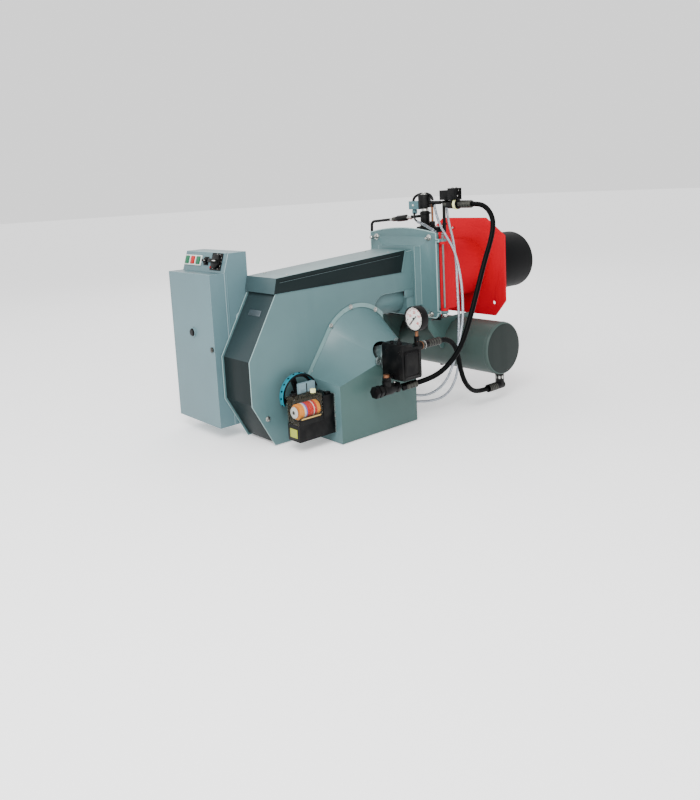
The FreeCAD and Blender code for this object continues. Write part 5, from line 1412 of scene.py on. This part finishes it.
@dataclass
class OilPump(Assembly):
    """The oil pump on its bell, with gauge, outlet valve and the ends of both hoses."""

    x: float = -626.0
    z: float = -210.0
    return_y: float = -290.0
    return_z: float = -174.0
    dial_x: float = -600.0
    dial_y: float = -306.0
    dial_z: float = -84.0
    zero: float = 225.0
    sweep: float = 270.0
    fine_steps: int = 40
    number_steps: int = 4

    def build(self) -> None:
        """Makes the pump."""
        dress("pump_bracket", Skin.ALUMINIUM, 0.0012, 3)
        dress("oil_pump", Skin.STEEL_BLACK, 0.0016, 3, 30)
        self.pump_details()
        self.gauge()
        self.valve()
        self.ends()

    def pump_details(self) -> None:
        """Adds the pump's cover plate, screws, ports and bolts."""
        plate = block(mm(-658, -318, -258), mm(-593, -315, -176), 0.0012)
        self.add("pump_cover", Skin.STEEL_BLACK, pressed(plate, NEAR, 0.005, 0.0012))
        corners = [(x, -318, z) for x in (-652, -599) for z in (-252, -182)]
        self.add("pump_screws", Skin.STEEL_BLACK, cap_screw(0.0036, 0.0026), corners, NEAR)
        left = [(-666, y, z) for y in (-246, -302) for z in (-178, -250)]
        self.add("pump_side_screws", Skin.STEEL_BLACK, cap_screw(0.0036, 0.0022), left, BACK)
        plugs = [(-640, -245, -155), (-655, -262, -155), (-612, -245, -167)]
        self.add("pump_top_plugs", Skin.STEEL_BLACK, hex_screw(0.005, 0.0036), plugs)
        ears = [(self.x + x, -222, self.z + z) for x, z in circle(52, 180, 60, -60)]
        self.add("bracket_bolts", Skin.STEEL, hex_screw(0.0055, 0.005, 0.0012), ears, FAR)
        bead = spun([(0.0265, 0.0), (0.0285, 0.0006), (0.0285, 0.004), (0.0265, 0.0046)], 40)
        self.add("bracket_ring", Skin.STEEL, bead, (self.x, -152, self.z), NEAR)

    def gauge(self) -> None:
        """Makes the gauge: black case, white dial with its scale, glass and pointer."""
        dress("gauge_case", Skin.STEEL_BLACK, 0.001, 3)
        low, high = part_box("gauge_needle")
        thick = high[0] - low[0]
        pointer = drum(0.0021, thick, 16)
        tail = block((-0.011, -0.0019, 0.0), (0.0275, 0.0019, thick), 0.0001)
        needle = self.on_dial(turned(join([tail, pointer]), self.zero), self.dial_x - high[0] / MM)
        self.swap("gauge_needle_modelled", Skin.INK, needle, "gauge_needle")
        dress("gauge_stem", Skin.COPPER, 0.0006,
              gauge_nut=(Skin.STEEL_BLACK, lambda normal, at: at.z < -0.1535))
        low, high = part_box("gauge_stem")
        at = ((low[0] + high[0]) / 2, (low[1] + high[1]) / 2, -0.157)
        self.add("stem_collar", Skin.STEEL_BLACK, aim(hex_screw(0.0085, 0.019), at))
        self.add("gauge_dial", Skin.DIAL, self.on_dial(disc(0.0348, 0.0003, 64)))
        self.scale()
        glass = spun([(0.0, 0.0018), (0.012, 0.0016), (0.024, 0.001), (0.0346, 0.0), (0.0346, -0.0008),
                      (0.0, -0.0008)], 64)
        self.add("gauge_glass", Skin.GLASS, self.on_dial(glass, 4.2))

    def on_dial(self, item: Item, lift: float = 0.0) -> Item:
        """Puts a piece drawn flat at the origin on the dial, or a lift in millimetres off it."""
        return face_on(item, mm(self.dial_x - lift, self.dial_y, self.dial_z), NEAR, UP)

    def scale(self) -> None:
        """Draws the dial's strokes and its numbers from 0 to 40."""
        short = block((0.028, -0.00055, 0.0), (0.0315, 0.00055, 0.0004))
        long = block((0.0255, -0.0013, 0.0), (0.0315, 0.0013, 0.0004))
        strokes: dict[Skin, list[Item]] = {Skin.INK: [], Skin.RED_INK: []}
        for step in range(self.fine_steps + 1):
            stroke = doubled(short if step % 5 else long)
            skin = Skin.RED_INK if 8 <= step <= 30 else Skin.INK
            angle = self.zero - step * self.sweep / self.fine_steps
            strokes[skin].append(self.on_dial(turned(stroke, angle)))
        drop(short, long)
        for skin, items in strokes.items():
            self.add(f"scale_{skin.name.lower()}", skin, join(items))
        numbers = []
        angles = [self.zero - step * self.sweep / self.number_steps
                  for step in range(self.number_steps + 1)]
        for step, (x, y) in enumerate(circle(0.0188, *angles)):
            bpy.ops.object.select_all(action="DESELECT")
            bpy.ops.object.text_add(location=(0.0, 0.0, 0.0))
            text = bpy.context.object
            text.data.body = str(step * 10)
            text.data.size = 0.0112
            text.data.align_x = "CENTER"
            text.data.align_y = "CENTER"
            text.data.extrude = 0.0002
            text.data.offset = 0.0004
            bpy.ops.object.convert(target="MESH")
            numbers.append(self.on_dial(aim(text, (x, y, 0.0003))))
        self.add("scale_numbers", Skin.RED_INK, join(numbers))
        hub = disc(0.0042, 0.0012, 28, 0.0, 0.0004)
        self.add("needle_boss", Skin.INK, self.on_dial(hub, 3.6), body="needle")

    def valve(self) -> None:
        """Makes the outlet valve with its nut, copper ring and plug."""
        dress("outlet_valve", Skin.STEEL_BLACK, 0.0012, 3, 30)
        dress("outlet_nut", Skin.STEEL_BLACK, 0.0008,
              outlet_ring=(Skin.COPPER, lambda normal, at: at.z > -0.2512 and at.x < -0.679))
        self.add("outlet_plug", Skin.STEEL, cap_screw(0.0042, 0.003), (-661, -271, -273.5))

    def ends(self) -> None:
        """Makes the sleeves at the pump's ends of both hoses."""
        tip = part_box("return_fitting")[1][0]
        dress("return_fitting", Skin.STEEL_BLACK, 0.0007)
        self.add("return_nut", Skin.PHOSPHATE, hex_screw(0.0136, 0.009), (-559, self.return_y, self.return_z),
                 AHEAD)
        ring = spun([(0.0, 0.0), (0.0128, 0.0), (0.0136, 0.0006), (0.0136, 0.0022), (0.0, 0.0028)], 36)
        for name, x, skin in (("return_copper", -562.0, Skin.COPPER), ("return_ring", -549.5, Skin.STEEL)):
            self.add(name, skin, doubled(ring), (x, self.return_y, self.return_z), AHEAD)
        drop(ring)
        sleeve = aim(crimp(0.0121, 0.056, 5), (tip - 0.0562, *mm(self.return_y, self.return_z)), AHEAD)
        self.add("return_sleeve", Skin.PHOSPHATE, sleeve)
        start = Vector(mm(-590, -297, -285))
        way = (start - Vector(mm(-552, -314, -278))).normalized()
        feed = aim(crimp(0.0121, 0.036, 4), tuple(start), tuple(way))
        self.swap("feed_sleeve", Skin.PHOSPHATE, feed, "feed_ferrule")
        neck = aim(hex_screw(0.0128, 0.014), tuple(start + way * 0.0362), tuple(way))
        self.add("feed_nut", Skin.STEEL_BLACK, neck)


@dataclass
class Preheater(Assembly):
    """The oil preheater tank in its saddles."""

    x: float = -172.0
    z: float = -251.0

    def build(self) -> None:
        """Makes the tank."""
        # Painted shade: the tank's near end gets a darker copy of the tank paint.
        dress("preheater_tank", Skin.TANK, 0.0,
              tank_end=(Skin.TANK_END, lambda normal, at: normal.y < -FACING))
        # Painted shade: the saddles get the darker copy of the grey paint.
        dress("tank_saddles", Skin.SHADE, 0.0012)
        dress("tank_elbow", Skin.STEEL_BLACK, 0.0012, 3)
        bead = spun([(0.0895, -0.003), (0.0906, -0.0015), (0.0908, 0.0), (0.0906, 0.0015),
                     (0.0895, 0.003)], 72)
        for name, y in (("near_weld", -290), ("far_weld", 240)):
            self.add(name, Skin.TANK, doubled(bead), (self.x, y, self.z), FAR)
        drop(bead)
        self.add("elbow_nut", Skin.STEEL, hex_screw(0.0155, 0.012), (self.x, -284, -358))
        self.add("elbow_sleeve", Skin.PHOSPHATE, crimp(0.0136, 0.044, 5), (-236, -284, -381), AHEAD)
        self.add("tank_drain", Skin.STEEL_BLACK, hex_screw(0.008, 0.008), (self.x, -20, -341), DOWN)


@dataclass
class NozzleGroup(Assembly):
    """The valve group on top of the flange: block, solenoid, switch, riser, union and thin pipe."""

    x: float = -303.0

    def build(self) -> None:
        """Makes the group."""
        dress("valve_block", Skin.STEEL_BLACK, 0.001, 3)
        dress("solenoid_valve", Skin.STEEL_BLACK, 0.001, 3)
        dress("copper_riser", Skin.COPPER, 0.0006,
              riser_joint=(Skin.STEEL_BLACK, lambda normal, at: at.y < -0.128 or at.z < 0.19))
        dress("heater_pipe", Skin.STEEL_BLACK, 0.0003)
        self.coil()
        self.switch()
        self.union()
        self.inline_filter()
        bolts = [(x, y, 170) for x in (-318, -292) for y in (-150, -70)]
        self.add("block_bolts", Skin.STEEL, cap_screw(0.0035, 0.004), bolts)

    def coil(self) -> None:
        """Makes the coil with its plug, strap, nut and rings."""
        dress("solenoid_coil", Skin.BLACK, 0.0016, 3, 30,
              coil_plug=(Skin.PLUG, lambda normal, at: at.y > -0.062))
        self.add("plug_screw", Skin.WHITE, cap_screw(0.0034, 0.0026), (-317, -42, 243), BACK)
        arch = ((-30, 256), (-31, 265), (-46, 276), (-70, 281.5), (-100, 281), (-118, 270), (-121, 258))
        self.add("coil_strap", Skin.BLACK, tube([(self.x, y, z) for y, z in arch], 0.0044))
        boot = spun([(0.0, 0.0), (0.0062, 0.0), (0.0088, 0.004), (0.0088, 0.012), (0.0066, 0.018),
                     (0.0, 0.018)], 24)
        self.add("plug_boot", Skin.PLUG, boot, (self.x, -35, 212))
        self.add("coil_nut", Skin.STEEL, hex_screw(0.0105, 0.006, 0.0015), (self.x, -85, 278))
        ring = spun([(0.0155, 0.0), (0.019, 0.0), (0.019, 0.006), (0.0155, 0.006)], 32)
        self.add("valve_rings", Skin.STEEL_BLACK, ring, [(self.x, -85, 176), (self.x, -85, 212)])
        neck = spun([(0.006, 0.0), (0.012, 0.001), (0.012, 0.006), (0.0095, 0.012), (0.006, 0.012)], 24)
        self.add("valve_neck", Skin.STEEL, neck, (self.x, -85, 222))

    def switch(self) -> None:
        """Makes the pressure switch: a tall box with an open terminal end, a low box and its pipe."""
        tall = pressed(block(mm(-318, -236, 257.5), mm(-288, -200, 296), 0.0014), NEAR, 0.0035, 0.008)
        low = block(mm(-316.5, -200.5, 258), mm(-289.5, -163, 290), 0.0014)
        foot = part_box("pressure_switch")[0][2]
        pipe = aim(disc(0.0055, 0.104, 28), (self.x * MM, -0.17, foot))
        self.swap("pressure_switch_modelled", Skin.BLACK, join([tall, low, pipe]), "pressure_switch", 35)
        self.add("switch_collars", Skin.STEEL_BLACK, drum(0.0085, 0.006, 6),
                 [(self.x, -170, 249), (self.x, -170, 176)])
        self.add("switch_screws", Skin.STEEL, hex_screw(0.0036, 0.003),
                 [(self.x, -226, 295.8), (-311, -216, 295.8), (-300, -208, 295.8)])
        self.add("terminal_ends", Skin.STEEL, cap_screw(0.0028, 0.003),
                 [(-310, -228, 288), (-296, -228, 288), (self.x, -228, 270)], NEAR)
        self.add("switch_cover", Skin.BLACK, block(mm(-318.8, -232, 262), mm(-317, -204, 295), 0.0008))
        self.add("conduit_nuts", Skin.STEEL_BLACK, hex_screw(0.0078, 0.009),
                 [(self.x, -124, 236), (-285, -166, 250)])

    def union(self) -> None:
        """Makes the hose union along its axis: nut, pale washer, collar, hexagon and sleeve."""
        washer = [(0.0, 0.0), (0.0156, 0.0), (0.0168, 0.001), (0.0168, 0.009), (0.0152, 0.0098),
                  (0.0, 0.0098)]
        collar = [(0.0, 0.0), (0.0152, 0.0), (0.0158, 0.001), (0.0158, 0.0045), (0.0, 0.0055)]
        for name, skin, piece, y in (
                ("union_nut", Skin.STEEL_BLACK, hex_screw(0.0142, 0.022), -190),
                ("union_washer", Skin.PALE, spun(washer, 36), -220),
                ("union_collar", Skin.STEEL_BLACK, spun(collar, 36), -230),
                ("union_hexagon", Skin.PHOSPHATE, hex_screw(0.0128, 0.01), -236)):
            self.add(name, skin, piece, (self.x, y, 243), NEAR)
        core = aim(drum(0.0102, 0.078), mm(self.x, -176, 243), NEAR)
        self.swap("union_core", Skin.PHOSPHATE, core, "hose_union")
        self.add("union_riser", Skin.STEEL_BLACK, drum(0.0088, 0.014), (self.x, -208, 243.5))
        self.add("union_sleeve", Skin.PHOSPHATE, crimp(0.0128, 0.044, 4), (self.x, -247, 243), NEAR)

    def inline_filter(self) -> None:
        """Adds the black strainer between two bright nuts on the thin pipe."""
        start = Vector((self.x, -22, 202.4))
        way = Vector((0, 99.7, -8)).normalized()
        barrel = [(0.0, 0.0), (0.0085, 0.0), (0.0112, 0.004), (0.0112, 0.05), (0.0085, 0.056), (0.0, 0.056)]
        tail = [(0.0, 0.0), (0.0066, 0.0), (0.0058, 0.01), (0.0, 0.01)]
        for name, skin, piece, along in (
                ("filter_right_nut", Skin.STEEL, hex_screw(0.0082, 0.012), 0.0),
                ("filter_ring", Skin.STEEL, drum(0.0068, 0.009), 12.5),
                ("filter_body", Skin.BLACK, spun(barrel, 8), 22.0),
                ("filter_left_nut", Skin.PHOSPHATE, hex_screw(0.0086, 0.016), 80.0),
                ("filter_tail", Skin.STEEL, spun(tail, 24), 97.0)):
            bevelled(piece, 0.0004, 2, 40)
            self.add(name, skin, piece, tuple(start + way * along), tuple(way))


@dataclass
class Cabinet(Assembly):
    """The switch cabinet with its door, console, lamps and switches."""

    lean: float = math.radians(18)
    row: float = 33.0
    selector_y: float = 194.0
    main_y: float = 133.0

    def stand(self, item: Item, up: float, y: float, lift: float = 0.0) -> Item:
        """Puts a piece drawn flat at the origin on the console.

        Args:
            item: The piece.
            up: Height along the slope in millimetres.
            y: Place across it.
            lift: Lift off it.

        Returns:
            The piece.
        """
        slope, rise = math.sin(self.lean), math.cos(self.lean)
        at = mm(-1012 + up * slope - lift * rise, y, 79 + up * rise + lift * slope)
        return face_on(item, at, NEAR, (slope, 0.0, rise))

    def build(self) -> None:
        """Makes the cabinet."""
        # Painted highlight: the broken edges of box and door get a lighter copy of the cabinet paint.
        dress("cabinet_box", Skin.CABINET, 0.0018, 3, 35, Skin.CABINET_EDGE)
        dress("cabinet_door", Skin.CABINET, 0.002, 3, 35, Skin.CABINET_EDGE)
        dress("cabinet_hinges", Skin.CABINET, 0.0004)
        self.sheet_lines()
        self.lamps()
        self.selector()
        self.main_switch()
        self.door_fittings()

    def sheet_lines(self) -> None:
        """Adds the folds of the box's side and the gasket round its front."""
        fold = block(mm(-1006, 78.9, -392), mm(-1002, 80.4, 78), 0.0006)
        top = block(mm(-1000, 81, 137.6), mm(-934, 84, 138.6), 0.0004)
        self.add("cabinet_folds", Skin.CABINET, join([fold, top]))
        gasket = block(mm(-1013.2, 84, -390), mm(-1011.4, 326, 75), 0.0004)
        self.add("cabinet_gasket", Skin.SEAL, pressed(gasket, BACK, 0.008, 0.0016))

    def lamps(self) -> None:
        """Makes the three signal lamps, each a lens in a white frame."""
        border = sunk(block((-0.0168, -0.0165, 0.0), (0.0168, 0.0165, 0.004), 0.0008), 0.0035, 0.002)
        lens = block((-0.0105, -0.0128, 0.0), (0.0105, 0.0128, 0.006), 0.0016)
        frames = []
        for place, (y, skin) in enumerate(((307, Skin.LENS_GREEN), (273, Skin.LENS_RED),
                                           (239, Skin.LENS_GREEN))):
            frames.append(self.stand(doubled(border), self.row, y))
            self.add(f"lamp_lens_{place}", skin, self.stand(doubled(lens), self.row, y, 1.0))
        drop(border, lens)
        self.swap("lamp_frames", Skin.FRAME_WHITE, join(frames), "console_lamps")
        self.add("console_led", Skin.LENS_RED, self.stand(cap_screw(0.0032, 0.003), 14, 163))

    def selector(self) -> None:
        """Makes the small selector on its plate."""
        spot = (self.row, self.selector_y)
        plate = block((-0.0135, -0.0135, 0.0), (0.0135, 0.0135, 0.002), 0.0007)
        self.add("selector_plate", Skin.BLACK, self.stand(plate, *spot))
        knob = spun([(0.0, 0.0022), (0.0108, 0.0022), (0.011, 0.004), (0.0102, 0.007), (0.0, 0.0073)], 32)
        grip = block((-0.0108, -0.0034, 0.007), (0.0108, 0.0034, 0.0128), 0.0012)
        mark = block((0.002, -0.0006, 0.0126), (0.0098, 0.0006, 0.0131), 0.0)
        knob = self.stand(join([knob, grip]), *spot)
        self.swap("selector_knob_turned", Skin.BLACK, knob, "selector_knob")
        self.add("selector_mark", Skin.WHITE, self.stand(mark, *spot), body="selector_knob")

    def main_switch(self) -> None:
        """Makes the main rotary switch on its plate."""
        spot = (self.row, self.main_y)
        base = sunk(block((-0.031, -0.027, 0.0), (0.031, 0.027, 0.0024), 0.0009), 0.0022, 0.0006)
        self.add("main_plate", Skin.BLACK, self.stand(base, *spot))
        ticks = spread(disc(0.0009, 0.0006, 12),
                       [(0.0285 * x, 0.0252 * y, 0.0019) for x, y in circle(1, *range(-60, 241, 30))])
        self.add("main_marks", Skin.WHITE, self.stand(ticks, *spot))
        dial = spun([(0.0, 0.0026), (0.0232, 0.0026), (0.0236, 0.004), (0.0222, 0.0088), (0.0205, 0.0098),
                     (0.0, 0.0098)], 48)
        handle = block((-0.0232, -0.0062, 0.0092), (0.0232, 0.0062, 0.0205), 0.0024)
        dial = self.stand(join([dial, handle]), *spot)
        self.swap("main_switch_turned", Skin.BLACK, dial, "main_switch")
        stripe = block((0.004, -0.0012, 0.0203), (0.0215, 0.0012, 0.0208), 0.0003)
        self.add("main_stripe", Skin.WHITE, self.stand(stripe, *spot), body="main_switch")

    def door_fittings(self) -> None:
        """Makes the reset button and the door lock."""
        ring = spun([(0.0109, 0.0), (0.0128, 0.0), (0.0125, 0.0042), (0.0114, 0.0048), (0.0109, 0.004)], 40)
        self.add("button_ring", Skin.BLACK, ring, (-1064, 200, -106), BACK, "cabinet_door")
        button = spun([(0.0, 0.0), (0.0107, 0.0), (0.0107, 0.0085), (0.0098, 0.0098), (0.006, 0.0102),
                       (0.0, 0.0098)], 36)
        aim(button, (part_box("reset_button")[0][0] + 0.0102, 0.2, -0.106), BACK)
        self.swap("reset_button_turned", Skin.BLACK, button, "reset_button")
        dress("door_lock", Skin.PHOSPHATE, 0.0005)


def main() -> None:
    """Builds the room and the burner."""
    Room().build()
    for assembly in (BoilerFront(), SwingFlange(), Housing(), Intake(), FanDrive(), OilPump(),
                     Preheater(), NozzleGroup(), Cabinet(), Lines()):
        assembly.build()
    dress("conduit_glands", Skin.STEEL, 0.0008)


if __name__ == "__main__":
    logging.basicConfig(level=logging.INFO)
    main()
